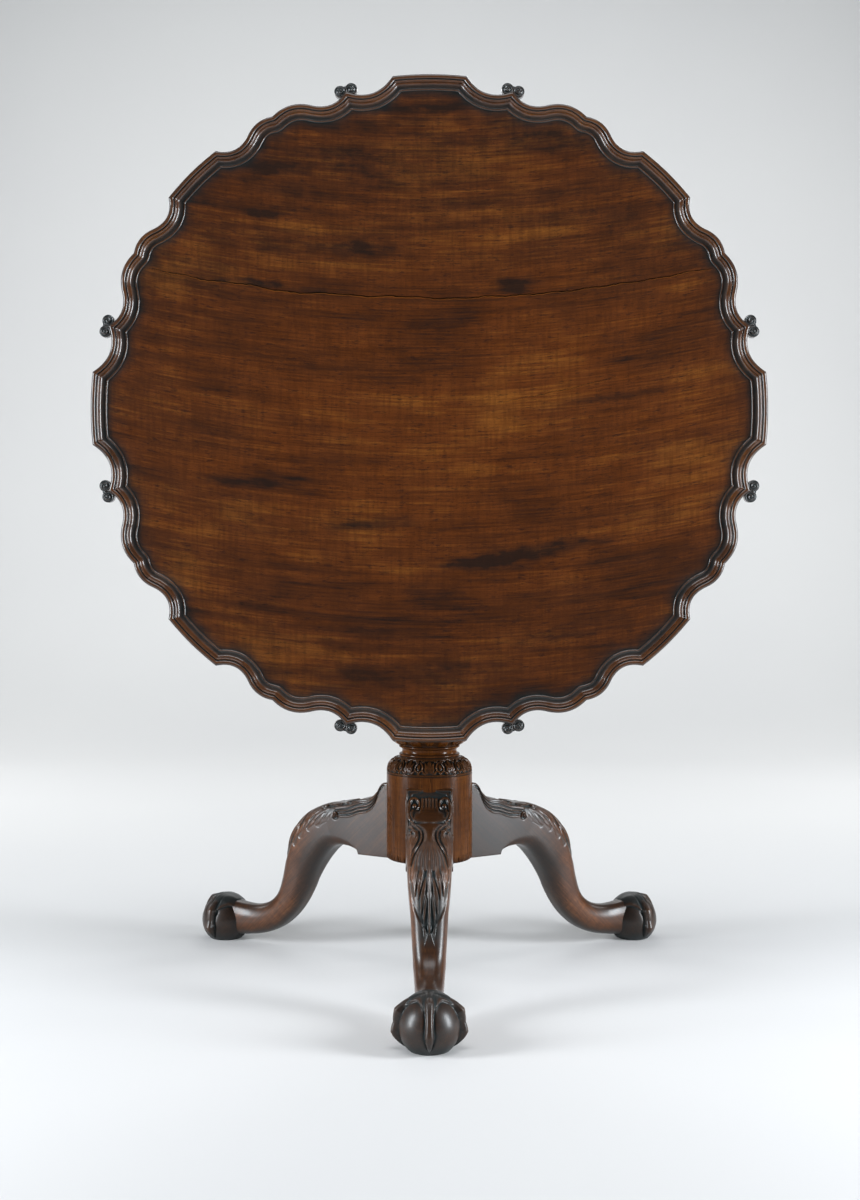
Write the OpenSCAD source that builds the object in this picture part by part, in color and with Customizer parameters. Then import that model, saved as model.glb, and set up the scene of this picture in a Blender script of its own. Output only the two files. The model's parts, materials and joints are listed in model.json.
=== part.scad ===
// Tilt-top tea table: a scalloped tray top on a turning birdcage, a turned pillar and three
// cabriole legs with ball-and-claw feet. Millimetres, +Z up, floor at z = 0. The top stands
// upright, facing -Y, and swings back about two wooden pintles to lie level.

/* [Top] */
// Width of the top along the grain
top_w = 900; // [880:1:920]
// Width across the grain as a fraction of the width along it
grain_shrink = 0.987; // [0.97:0.001:1]
// Thickness of the top at its raised rim
top_t = 24; // [21:0.5:28]
// Depth of the tray surface below the rim
tray_depth = 9; // [6:0.5:11]
// Width of the moulded rim
rim_w = 21; // [16:1:26]
// Depth and width of the rim's inner step
rim_step = [4, 12]; // [2:1:14]
// Radius of the small carved ears on the rim
ear_r = 7.5; // [5:0.5:9]

/* [Battens] */
// Width of each batten
batten_w = 38; // [32:1:45]
// Thickness of each batten
batten_t = 28; // [26:1:32]
// Length of each batten
batten_l = 700; // [640:10:720]
// Places of the batten screws, from the middle of the top
batten_screw_at = [-280, -190, 20, 150, 280]; // [-290:1:290]

/* [Birdcage] */
// Distance from the pillar axis forward to the tilt pivot
pivot_c = 100; // [95:1:108]
// Height of the tilt pivot
pivot_z = 678; // [670:1:690]
// Width of the birdcage plates
cage_w = 205; // [190:1:210]
// Thickness of the upper plate
upper_t = 24; // [22:1:26]
// Thickness of the lower plate
lower_t = 22; // [18:1:24]
// Distance of each colonnette from the pillar axis along X and Y
colonnette_at = 74; // [66:1:80]
// Radius of the round pintles that the top tilts on
pintle_r = 8; // [6:0.5:9]
// Length of each pintle
pintle_l = 36; // [30:1:37]

/* [Pillar] */
// Radius of the cylindrical hub that takes the legs
hub_r = 60.5; // [56:0.5:64]
// Height of the hub's lower face
hub_z = 156; // [150:1:160]
// Height of the shoulder that the birdcage rests on
shoulder_z = 572; // [565:1:574]
// Radius of the round post above the shoulder
post_r = 22.5; // [20:0.5:25]
// Radius of the pin at the top of the post
pin_r = 12; // [10:0.5:14]

/* [Legs] */
// Distance from the pillar axis to the centre of each foot
foot_at = 360; // [340:1:380]
// Radius of the ball
ball_r = 38.5; // [36:0.5:41]
// Height of the ball's centre
ball_z = 27; // [24:1:30]
// Reach of the claws from the foot's centre
claw_r = 45; // [42:0.5:48]
// Width of one claw
claw_w = 11; // [8:0.5:14]

/* [Fastenings] */
// Radius of a batten screw's shank
screw_r = 2.2; // [1.8:0.1:2.6]
// Length of a batten screw
screw_l = 36; // [32:1:38]
// Radius and thickness of a batten screw's head
screw_head = [4.5, 3]; // [2:0.5:6]
// Thickness of the iron brace under the hub
brace_t = 2.5; // [2:0.5:4]
// Thickness of the brass plates of the latch
brass_t = 2; // [1.5:0.1:2.5]

/* [Hidden] */
$fn = 64;

gap = 0.3;          // clearance between parts that move on each other
fit = 0.1;          // clearance between parts that are fixed together
run = 0.08;         // radial running clearance of a round pin in its bore
eps = 0.5;          // overlap that makes a cut run clean through a face
arc_n = 6;          // straight pieces in one arc or curve

// The object's middle, front to back, is the origin, and the pillar stands behind it
foot_front = foot_at + claw_r;
foot_back = foot_at * sin(30) + claw_r * cos(30) + claw_w / 2 * sin(30);
axis_y = (foot_front - foot_back) / 2;

top_r = top_w / 2;
under = upper_t / 2 + gap;              // pivot to the top's underside
floor_t = top_t - tray_depth;           // thickness of the tray floor
back_step = [8, 9];                     // depth and width of the step round the underside
lower_z = shoulder_z + gap;             // underside of the lower plate
colonnette_z = lower_z + lower_t;       // foot of the colonnettes
colonnette_l = pivot_z - upper_t / 2 - colonnette_z;
collar_t = 12;
collar_r = 36;
collar_z = colonnette_z + gap;
key = [80, 14, 7];                      // length, width and thickness of the key
key_z = collar_z + collar_t;
post_top = key_z + key[2] + 22;
pin_top = pivot_z + upper_t / 2 - 2;
tenon_r = 7;
kerf = 1.6;                             // saw cut in a tenon's end
kerf_l = 14;
leg_dirs = [-90, 150, 30];              // front, left and right
dovetail = [22, 30, 17, 84];            // neck and tail width, depth and height

// Rim outline of one eighth of the top: angle from the middle of a side, radius, and how far
// the curve to the next point stands out from its chord
rim_points = [[0, 450, 0.7], [6.3, 450, -13], [14.3, 439.4, -8.5], [21, 437.3, 7.7],
              [28, 444.9, 5.5], [33.3, 439.3, -9.4], [39.3, 448, 0.6], [45, 448.5, 0]];
ears = [[13.2, 442], [15.3, 442]];      // angle and radius of the two ears of a pair

// Latch, in the frame of the level top: Y from the pivot, Z from the pivot up
latch_plate_y = [203, 275];
latch_plate_w = 34;
case_y = [210, 252];
case_w = 16;
case_h = 12;
case_wall = 1.5;
bolt = [12, 40, 7];
bolt_y = 192;
bolt_z = -0.2;
bolt_travel = 9;
knob_y = 222;
stem_r = 2;
latch_screw_y = [206.5, 268];
latch_screw_x = 11.5;
small_screw = [1.4, 9, 2.8, 1.2];       // shank radius, length, head radius, head height
strike = [44, 18];
strike_hole = [14, 9];
strike_screw_x = 16;
spring_r = 2.6;
wire_r = 0.5;
spring_turns = 6;

nail = [1.5, 14, 4, 1.6];               // shank radius, length, head radius, head height
arm_w = 24;
arm_r = 114;
arm_nails = [76, 102];
hub_nail_r = 24;

// ---- curves ----

function polar(a, r) = [r * sin(a), r * cos(a)];

// Points of a shallow arc from a to b, without b, standing out from the chord by rise
function arc(a, b, rise) =
    let (d = b - a, out = [-d.y, d.x] / norm(d))
    [for (i = [0:arc_n - 1]) let (t = i / arc_n) a + d * t + out * rise * 4 * t * (1 - t)];

function bezier(p, t) =
    p[0] * pow(1 - t, 3) + p[1] * 3 * t * pow(1 - t, 2) + p[2] * 3 * t * t * (1 - t) + p[3] * pow(t, 3);

// Points of a chain of cubic curves, each starting where the last one ended
function chain(start, curves) =
    [for (k = [0:len(curves) - 1], i = [1:arc_n])
        let (from = k == 0 ? start : curves[k - 1][2])
        bezier([from, curves[k][0], curves[k][1], curves[k][2]], i / arc_n)];

rim_eighth = [for (i = [0:len(rim_points) - 2])
    each arc(polar(rim_points[i][0], rim_points[i][1]),
             polar(rim_points[i + 1][0], rim_points[i + 1][1]), rim_points[i][2])];
rim_corner = polar(rim_points[7][0], rim_points[7][1]);
rim_quarter = concat(rim_eighth, [rim_corner],
    [for (i = [len(rim_eighth) - 1:-1:1]) [rim_eighth[i].y, rim_eighth[i].x]]);

function turned(p, q) = q == 0 ? p : q == 1 ? [p.y, -p.x] : q == 2 ? -p : [-p.y, p.x];

// Outline of the top, drawn in by inset all round
function rim_outline(inset) =
    let (k = (top_r - inset) / rim_points[0][1])
    [for (q = [0:3], p = rim_quarter) let (v = turned(p, q) * k) [v.x, v.y * grain_shrink]];

// Leg outline seen from the side: distance from the pillar axis, height
leg_upper = chain([hub_r - 6, 262], [
    [[76, 256], [86, 231], [125, 227]], [[160, 223], [188, 215], [206, 200]],
    [[224, 185], [236, 165], [240, 137]], [[243, 120], [247, 102], [253, 87]],
    [[259, 73], [278, 58], [305, 57]]]);
leg_under = chain([116, hub_z], [
    [[119, 162], [126, 161], [135, 161]], [[148, 160], [160, 152], [168, 143]],
    [[181, 130], [191, 112], [199, 93]], [[209, 72], [222, 54], [237, 41]],
    [[253, 26], [275, 16], [305, 12]]]);
leg_side = concat([[hub_r - 6, hub_z], [hub_r - 6, 262]], leg_upper,
    [[foot_at, 50], [foot_at, 20]],
    [for (i = [len(leg_under) - 1:-1:0]) leg_under[i]], [[116, hub_z]]);
leg_half = chain([hub_r - 6, 32.5], [
    [[100, 32.5], [140, 31], [165, 30]], [[200, 29.5], [225, 28.5], [236, 25]],
    [[244, 22.5], [258, 18], [305, 17]]]);
leg_plan = concat([[hub_r - 6, 32.5]], leg_half, [[foot_at, 17], [foot_at, -17]],
    [for (i = [len(leg_half) - 1:-1:0]) [leg_half[i].x, -leg_half[i].y]], [[hub_r - 6, -32.5]]);

pillar_side = concat(
    [[0, hub_z], [hub_r - 3, hub_z], [hub_r, hub_z + 3], [hub_r, 276]],
    chain([hub_r, 276], [[[hub_r, 290], [53, 299], [42, 300]]]),
    [[42, 304], [38, 304], [38, 313], [42, 315]],
    chain([42, 315], [[[54, 318], [60, 334], [60, 352]], [[60, 374], [50, 388], [37, 392]]]),
    [[41, 395], [41, 401], [35, 404]],
    chain([35, 404], [[[30, 410], [31, 416], [31, 424]], [[31, 460], [27, 505], [24, 536]]]),
    [[28, 539], [28, 546], [24, 549]],
    chain([24, 549], [[[25, 558], [31, 562], [36, 564]]]),
    [[36, shoulder_z], [post_r, shoulder_z], [post_r, post_top], [pin_r, post_top],
     [pin_r, pin_top], [0, pin_top]]);

colonnette_side = concat(
    [[0, 1 - lower_t], [tenon_r, 1 - lower_t], [tenon_r, 0], [13, 0], [13, 5], [10, 7], [10, 10]],
    chain([10, 10], [[[13, 12], [14, 18], [13, 24]], [[11, 32], [7, 34], [6.5, 42]],
                     [[6.5, 50], [8, 54], [9, 58]]]),
    [[12, 60], [12, 64], [9, 66], [13, 68], [13, colonnette_l], [tenon_r, colonnette_l],
     [tenon_r, colonnette_l + upper_t - 1], [0, colonnette_l + upper_t - 1]]);

// ---- placing ----

// About the pillar axis
module on_axis() { translate([0, axis_y, 0]) children(); }

// From the level top's frame, which has the pivot as its origin, to the upright top
module on_top() { translate([0, axis_y - pivot_c, pivot_z]) rotate([90, 0, 0]) children(); }

module at_colonnettes() {
    for (x = [-1, 1], y = [-1, 1]) translate([x * colonnette_at, y * colonnette_at, 0]) children();
}

module at_batten_screws(side) {
    for (v = batten_screw_at)
        translate([side * (cage_w / 2 + 1 + batten_w / 2), pivot_c + v, under - batten_t]) children();
}

module at_latch_screws() {
    for (x = [-1, 1], y = latch_screw_y) translate([x * latch_screw_x, y, under - brass_t]) children();
}

module at_strike_screws() {
    for (x = [-1, 1])
        translate([x * strike_screw_x, pivot_c, pivot_z]) rotate([90, 0, 0]) children();
}

module at_arm_nails(dir) {
    rotate([0, 0, dir]) for (r = arm_nails) translate([r, 0, hub_z - brace_t]) children();
}

module at_hub_nails() {
    for (dir = leg_dirs) rotate([0, 0, dir + 60]) translate([hub_nail_r, 0, hub_z - brace_t]) children();
}

// A headed pin that runs up from the face at z = 0, its head sunk or proud below it
module headed(shank_r, length, head_r, head_h, head_z) {
    cylinder(r = shank_r, h = length);
    translate([0, 0, head_z]) cylinder(r = head_r, h = head_h);
}

// ---- the top ----

module top_board() {
    color("saddlebrown") on_top() difference() {
        translate([0, pivot_c, under]) difference() {
            union() {
                linear_extrude(top_t) polygon(rim_outline(back_step[1]));
                translate([0, 0, back_step[0]])
                    linear_extrude(top_t - back_step[0]) polygon(rim_outline(0));
                for (q = [0:90:270], m = [0, 1], e = ears)
                    let (p = polar(q + (m == 0 ? e[0] : -e[0]), e[1]))
                    translate([p.x, p.y * grain_shrink, back_step[0]])
                        cylinder(r = ear_r, h = top_t - back_step[0]);
            }
            translate([0, 0, floor_t]) linear_extrude(top_t) polygon(rim_outline(rim_w));
            translate([0, 0, top_t - rim_step[0]])
                linear_extrude(top_t) polygon(rim_outline(rim_step[1]));
        }
        for (side = [-1, 1]) at_batten_screws(side) cylinder(r = screw_r + fit, h = screw_l + 1);
        at_latch_screws() cylinder(r = small_screw[0] + fit, h = small_screw[1] + 1);
    }
}

module batten(side) {
    half = batten_l / 2;
    on_top() translate([side * (cage_w / 2 + 1 + batten_w / 2), 0, 0]) difference() {
        translate([-batten_w / 2, pivot_c, under]) rotate([90, 0, 90]) linear_extrude(batten_w)
            polygon([[-half, 0], [-half, -12], [-half + 4, -17], [-half + 50, -batten_t],
                     [half - 50, -batten_t], [half - 4, -17], [half, -12], [half, 0]]);
        rotate([0, 90, 0]) cylinder(r = pintle_r + run, h = batten_w + 2, center = true);
        for (v = batten_screw_at) translate([0, pivot_c + v, under - batten_t - eps]) {
            cylinder(r = screw_r + fit, h = batten_t + 1);
            cylinder(r = screw_head[0] + fit, h = screw_head[1] + eps);
        }
    }
}

module left_batten() { color("sienna") batten(-1); }

module right_batten() { color("sienna") batten(1); }

module batten_screws() {
    color("dimgray") on_top() for (side = [-1, 1]) at_batten_screws(side) difference() {
        headed(screw_r, screw_l, screw_head[0], screw_head[1], 0);
        translate([-5, -0.5, -eps]) cube([10, 1, 1 + eps]);
    }
}

// ---- the birdcage ----

module cage_upper_plate() {
    depth = 2 * pivot_c;
    color("saddlebrown") on_axis() difference() {
        union() {
            translate([-cage_w / 2, -pivot_c, pivot_z - upper_t / 2]) cube([cage_w, depth, upper_t]);
            translate([0, -pivot_c, pivot_z]) rotate([0, 90, 0]) {
                cylinder(d = upper_t, h = cage_w, center = true);
                cylinder(r = pintle_r, h = cage_w + 2 + 2 * pintle_l, center = true);
            }
        }
        translate([0, 0, pivot_z - upper_t]) cylinder(r = pin_r + run, h = 2 * upper_t);
        translate([0, 0, pivot_z - upper_t])
            at_colonnettes() cylinder(r = tenon_r + fit, h = 2 * upper_t);
        translate([-strike[0] / 2 - fit, pivot_c - brass_t, pivot_z - strike[1] / 2 - fit])
            cube([strike[0] + 2 * fit, brass_t + eps, strike[1] + 2 * fit]);
        translate([-strike_hole[0] / 2, pivot_c - 14, pivot_z - 1.5])
            cube([strike_hole[0], 14, strike_hole[1]]);
        at_strike_screws() cylinder(r = small_screw[0] + fit, h = small_screw[1] + 1);
    }
}

module cage_lower_plate() {
    front = pivot_c + upper_t / 2;
    color("saddlebrown") on_axis() difference() {
        translate([-cage_w / 2, -front, lower_z]) cube([cage_w, front + pivot_c, lower_t]);
        translate([0, 0, lower_z - eps]) cylinder(r = post_r + run, h = lower_t + 1);
        translate([0, 0, lower_z - eps])
            at_colonnettes() cylinder(r = tenon_r + fit, h = lower_t + 1);
    }
}

module colonnette(x, y) {
    on_axis() translate([x * colonnette_at, y * colonnette_at, colonnette_z]) difference() {
        rotate_extrude() polygon(colonnette_side);
        for (z = [-lower_t, colonnette_l + upper_t - kerf_l])
            translate([-kerf / 2, -2 * tenon_r, z]) cube([kerf, 4 * tenon_r, kerf_l]);
    }
}

module colonnette_front_left() { color("sienna") colonnette(-1, -1); }

module colonnette_front_right() { color("sienna") colonnette(1, -1); }

module colonnette_rear_left() { color("sienna") colonnette(-1, 1); }

module colonnette_rear_right() { color("sienna") colonnette(1, 1); }

module tenon_wedges() {
    wedge = [kerf - 2 * fit, 1.8 * tenon_r, kerf_l - 2];
    tops = [colonnette_z - lower_t + 1, colonnette_z + colonnette_l + upper_t - 1 - wedge.z];
    color("peru") on_axis() at_colonnettes() for (z = tops)
        translate([-wedge.x / 2, -wedge.y / 2, z]) cube(wedge);
}

module collar_ring() {
    color("sienna") on_axis() translate([0, 0, collar_z]) difference() {
        union() {
            cylinder(r = collar_r, h = collar_t - 3);
            cylinder(r = collar_r - 4, h = collar_t);
        }
        translate([0, 0, -eps]) cylinder(r = post_r + fit, h = collar_t + 1);
    }
}

module cage_key() {
    head = 14;
    color("peru") on_axis() translate([0, 0, key_z + fit]) union() {
        translate([-key[0] / 2, -key[1] / 2, 0]) cube([key[0], key[1], key[2] - 2 * fit]);
        translate([key[0] / 2 - head, -key[1] / 2 - 4, 0])
            cube([head, key[1] + 8, key[2] - 2 * fit]);
    }
}

// ---- the base ----

// Dovetail along +X that tapers to its neck at the hub's surface, grown by clear
module dovetail_bar(clear) {
    neck = dovetail[0] / 2 + clear;
    tail = dovetail[1] / 2 + clear;
    inner = hub_r - dovetail[2] - clear;
    translate([0, 0, hub_z - (clear > 0 ? eps : 0)])
        linear_extrude(dovetail[3] + (clear > 0 ? eps + clear : 0))
            polygon([[inner, -tail], [hub_r + 1, -neck], [hub_r + 1, neck], [inner, tail]]);
}

module pillar() {
    color("saddlebrown") on_axis() difference() {
        rotate_extrude() polygon(pillar_side);
        for (dir = leg_dirs) rotate([0, 0, dir]) dovetail_bar(fit);
        translate([-2 * post_r, -key[1] / 2 - fit, key_z]) cube([4 * post_r, key[1] + 2 * fit, key[2]]);
        at_hub_nails() cylinder(r = nail[0] + fit, h = nail[1] + 1);
    }
}

module foot() {
    translate([foot_at, 0, 0]) intersection() {
        translate([0, 0, ball_z]) sphere(r = ball_r);
        translate([0, 0, 50]) cube(100, center = true);
    }
    for (dir = [0, 90]) translate([foot_at, 0, 20]) rotate([90, 0, dir]) intersection() {
        cylinder(r = claw_r, h = claw_w, center = true);
        translate([0, 32, 0]) cube([100, 98, claw_w], center = true);
    }
}

module leg(dir) {
    on_axis() difference() {
        rotate([0, 0, dir]) union() {
            difference() {
                intersection() {
                    rotate([90, 0, 0]) translate([0, 0, -40]) linear_extrude(80) polygon(leg_side);
                    linear_extrude(300) polygon(leg_plan);
                }
                cylinder(r = hub_r + fit, h = 600, center = true);
            }
            dovetail_bar(0);
            foot();
        }
        at_arm_nails(dir) cylinder(r = nail[0] + fit, h = nail[1] + 1);
    }
}

module front_leg() { color("saddlebrown") leg(leg_dirs[0]); }

module left_leg() { color("saddlebrown") leg(leg_dirs[1]); }

module right_leg() { color("saddlebrown") leg(leg_dirs[2]); }

module iron_brace() {
    color("dimgray") on_axis() difference() {
        translate([0, 0, hub_z - brace_t]) linear_extrude(brace_t) union() {
            circle(r = 36);
            for (dir = leg_dirs) rotate(dir) {
                translate([0, -arm_w / 2]) square([arm_r - arm_w / 2, arm_w]);
                translate([arm_r - arm_w / 2, 0]) circle(d = arm_w);
            }
        }
        for (dir = leg_dirs) at_arm_nails(dir) translate([0, 0, -eps]) cylinder(r = nail[0] + fit, h = 9);
        at_hub_nails() translate([0, 0, -eps]) cylinder(r = nail[0] + fit, h = 9);
    }
}

module brace_nails() {
    color("dimgray") on_axis() {
        for (dir = leg_dirs) at_arm_nails(dir) headed(nail[0], nail[1], nail[2], nail[3], -nail[3]);
        at_hub_nails() headed(nail[0], nail[1], nail[2], nail[3], -nail[3]);
    }
}

// ---- the latch ----

module latch_plate() {
    color("goldenrod") on_top() difference() {
        translate([-latch_plate_w / 2, latch_plate_y[0], under - brass_t])
            cube([latch_plate_w, latch_plate_y[1] - latch_plate_y[0], brass_t]);
        at_latch_screws() translate([0, 0, -eps]) cylinder(r = small_screw[0] + fit, h = 4);
    }
}

module latch_case() {
    low = under - brass_t - case_h;
    inner_w = bolt.x + 0.8;
    color("goldenrod") on_top() difference() {
        translate([-case_w / 2, case_y[0], low]) cube([case_w, case_y[1] - case_y[0], case_h]);
        translate([-inner_w / 2, case_y[0] - 1, bolt_z - 0.4])
            cube([inner_w, case_y[1] - case_y[0] + 1 - case_wall, bolt.z + 0.8]);
        translate([-stem_r - 0.4, knob_y - stem_r - 0.4, low - 1])
            cube([2 * stem_r + 0.8, bolt_travel + 2 * stem_r + 0.8, 6]);
    }
}

module latch_bolt() {
    color("goldenrod") on_top() difference() {
        translate([-bolt.x / 2, bolt_y, bolt_z]) cube(bolt);
        translate([-bolt.x, bolt_y, bolt_z]) rotate([40, 0, 0]) translate([0, -10, -10])
            cube([2 * bolt.x, 20, 10]);
    }
}

module latch_knob() {
    color("goldenrod") on_top() translate([0, knob_y, bolt_z]) rotate([180, 0, 0]) {
        cylinder(r = stem_r, h = 7);
        translate([0, 0, 7]) rotate_extrude() polygon(concat([[0, 0], [3, 0]],
            chain([3, 0], [[[5, 1], [6.5, 2.5], [6.5, 4.5]], [[6.5, 7], [4, 8.5], [0, 8.5]]])));
    }
}

// Coil between the bolt's tail and the end of the case
module latch_spring() {
    steps = 10;
    sides = 6;
    first = bolt_y + bolt.y + wire_r + fit;
    length = case_y[1] - case_wall - wire_r - fit - first;
    rings = spring_turns * steps;
    points = [for (i = [0:rings], j = [0:sides - 1])
        let (a = 360 * i / steps, b = 360 * j / sides, r = spring_r + wire_r * cos(b))
        [r * cos(a), first + length * i / rings + wire_r * sin(b), r * sin(a)]];
    walls = [for (i = [0:rings - 1], j = [0:sides - 1])
        let (k = (j + 1) % sides)
        [i * sides + j, i * sides + k, (i + 1) * sides + k, (i + 1) * sides + j]];
    ends = [[for (j = [sides - 1:-1:0]) j], [for (j = [0:sides - 1]) rings * sides + j]];
    color("silver") on_top() translate([0, 0, bolt_z + bolt.z / 2])
        polyhedron(points, concat(walls, ends));
}

module latch_screws() {
    color("goldenrod") on_top() at_latch_screws()
        headed(small_screw[0], small_screw[1], small_screw[2], small_screw[3], -small_screw[3]);
}

module strike_plate() {
    color("goldenrod") on_axis() difference() {
        translate([-strike[0] / 2, pivot_c - brass_t, pivot_z - strike[1] / 2])
            cube([strike[0], brass_t, strike[1]]);
        translate([-strike_hole[0] / 2, pivot_c - 5, pivot_z - 1.5])
            cube([strike_hole[0], 10, strike_hole[1]]);
        at_strike_screws() translate([0, 0, -eps]) cylinder(r = small_screw[0] + fit, h = 4);
    }
}

module strike_screws() {
    color("goldenrod") on_axis() at_strike_screws()
        headed(small_screw[0], small_screw[1], small_screw[2], small_screw[3], -small_screw[3]);
}

top_board();
left_batten();
right_batten();
batten_screws();
cage_upper_plate();
cage_lower_plate();
colonnette_front_left();
colonnette_front_right();
colonnette_rear_left();
colonnette_rear_right();
tenon_wedges();
collar_ring();
cage_key();
pillar();
front_leg();
left_leg();
right_leg();
iron_brace();
brace_nails();
latch_plate();
latch_case();
latch_bolt();
latch_knob();
latch_spring();
latch_screws();
strike_plate();
strike_screws();
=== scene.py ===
"""Looks of a tilt-top tea table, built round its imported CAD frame. Metres, +Z up, floor at z = 0."""

import json
import math

import bmesh
import bpy
import numpy as np
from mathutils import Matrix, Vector, geometry


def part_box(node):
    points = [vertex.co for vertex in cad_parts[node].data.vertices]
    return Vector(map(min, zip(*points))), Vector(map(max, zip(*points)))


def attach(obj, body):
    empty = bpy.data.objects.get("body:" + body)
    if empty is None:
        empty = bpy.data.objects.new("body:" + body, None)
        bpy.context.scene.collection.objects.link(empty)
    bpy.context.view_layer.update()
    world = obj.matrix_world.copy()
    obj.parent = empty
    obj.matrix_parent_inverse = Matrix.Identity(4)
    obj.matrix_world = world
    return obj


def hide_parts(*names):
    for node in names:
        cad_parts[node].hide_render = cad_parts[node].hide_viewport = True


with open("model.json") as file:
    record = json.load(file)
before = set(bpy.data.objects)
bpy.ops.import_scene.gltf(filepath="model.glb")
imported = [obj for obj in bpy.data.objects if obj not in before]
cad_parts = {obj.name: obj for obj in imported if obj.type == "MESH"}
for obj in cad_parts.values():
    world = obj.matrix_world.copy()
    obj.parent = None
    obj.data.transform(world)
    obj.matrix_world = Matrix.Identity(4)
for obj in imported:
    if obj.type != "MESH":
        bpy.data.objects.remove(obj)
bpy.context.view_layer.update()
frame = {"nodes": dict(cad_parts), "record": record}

MM = 0.001
JOINTS = {j["name"]: j for j in frame["record"]["behaviour"]["joints"]}
AXIS_Y = JOINTS["cage_turn"]["pos_m"][1]
TOP_LOW, TOP_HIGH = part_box("top_board")
TOP_Z = (TOP_LOW[2] + TOP_HIGH[2]) / 2
TOP_BACK = TOP_HIGH[1]
SHRINK = (TOP_HIGH[2] - TOP_LOW[2]) / (TOP_HIGH[0] - TOP_LOW[0])
TRAY_H = 15             # height of the tray's floor over the underside, millimetres
LEG_DIRS = {"front_leg": -90, "left_leg": 150, "right_leg": 30}


# ---------------------------------------------------------------- small tools

def smoothstep(low, high, x):
    t = np.clip((np.asarray(x, float) - low) / (high - low), 0, 1)
    return t * t * (3 - 2 * t)


def waves(x, y, seed, count=9, low=1.0, high=4.0):
    """Smooth random surface: a sum of plane waves of mixed direction, about -1 to 1."""
    rng = np.random.default_rng(seed)
    total = np.zeros(np.broadcast(x, y).shape)
    for _ in range(count):
        turn, phase = rng.uniform(0, 2 * math.pi, 2)
        f = rng.uniform(low, high) * 2 * math.pi
        total += np.sin(f * (x * math.cos(turn) + y * math.sin(turn)) + phase)
    return total / math.sqrt(count)


def bezier(a, b, c, d, n):
    """n points of a cubic curve after its start."""
    t = np.linspace(0, 1, n + 1)[1:, None]
    a, b, c, d = (np.array(p, float) for p in (a, b, c, d))
    return a * (1 - t) ** 3 + b * 3 * t * (1 - t) ** 2 + c * 3 * t * t * (1 - t) + d * t ** 3


def chain(start, curves, n):
    """Points of cubic curves joined end to end, with n points in each."""
    points = [np.array([start], float)]
    for c1, c2, end in curves:
        points.append(bezier(points[-1][-1], c1, c2, end, n))
    return np.vstack(points)


def lengths(points):
    """Distance along a line of points, starting at 0."""
    return np.concatenate([[0], np.cumsum(np.linalg.norm(np.diff(points, axis=0), axis=1))])


def smooth_line(points, per=8):
    """Catmull-Rom curve through a few points."""
    p = np.array(points, float)
    p = np.vstack([2 * p[0] - p[1], p, 2 * p[-1] - p[-2]])
    out = []
    for k in range(1, len(p) - 2):
        t = np.linspace(0, 1, per, endpoint=False)[:, None]
        a, b, c, d = p[k - 1], p[k], p[k + 1], p[k + 2]
        out.append(0.5 * (2 * b + (c - a) * t + (2 * a - 5 * b + 4 * c - d) * t ** 2
                          + (3 * b - a - 3 * c + d) * t ** 3))
    return np.vstack(out + [p[-2:-1]])


def grid_faces(rows, cols, closed=True, first=0, flip=False):
    """Quads between rows of cols points each, the columns closing on themselves if asked."""
    i, j = np.meshgrid(np.arange(rows - 1), np.arange(cols if closed else cols - 1), indexing="ij")
    k = (j + 1) % cols
    quads = np.stack([i * cols + j, i * cols + k, (i + 1) * cols + k, (i + 1) * cols + j], axis=-1)
    quads = quads.reshape(-1, 4) + first
    return (quads[:, ::-1] if flip else quads).tolist()


def fan(hub, first, cols, flip=False):
    """Triangles from one point to a ring of cols points."""
    ring = [(first + j, first + (j + 1) % cols) for j in range(cols)]
    return [[hub, k, j] if flip else [hub, j, k] for j, k in ring]


def make(name, verts, faces, material, sharp=None, values=None):
    """Mesh object with smooth shading, creases over the sharp angle, and named point values."""
    mesh = bpy.data.meshes.new(name)
    mesh.from_pydata(np.asarray(verts, float).tolist(), [], faces)
    mesh.validate()
    for key, data in (values or {}).items():
        layer = mesh.attributes.new(key, "FLOAT", "POINT")
        layer.data.foreach_set("value", np.asarray(data, np.float32))
    mesh.shade_smooth()
    if sharp:
        mesh.set_sharp_from_angle(angle=math.radians(sharp))
    mesh.materials.append(material)
    obj = bpy.data.objects.new(name, mesh)
    bpy.context.scene.collection.objects.link(obj)
    return obj


def grid_normals(p):
    """Unit normals of a (rows, cols, 3) grid that closes along its columns."""
    du = np.gradient(p, axis=0)
    dv = (np.roll(p, -1, axis=1) - np.roll(p, 1, axis=1)) / 2
    n = np.cross(du, dv)
    return n / np.maximum(np.linalg.norm(n, axis=2, keepdims=True), 1e-12)


# ---------------------------------------------------------------- materials

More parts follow.
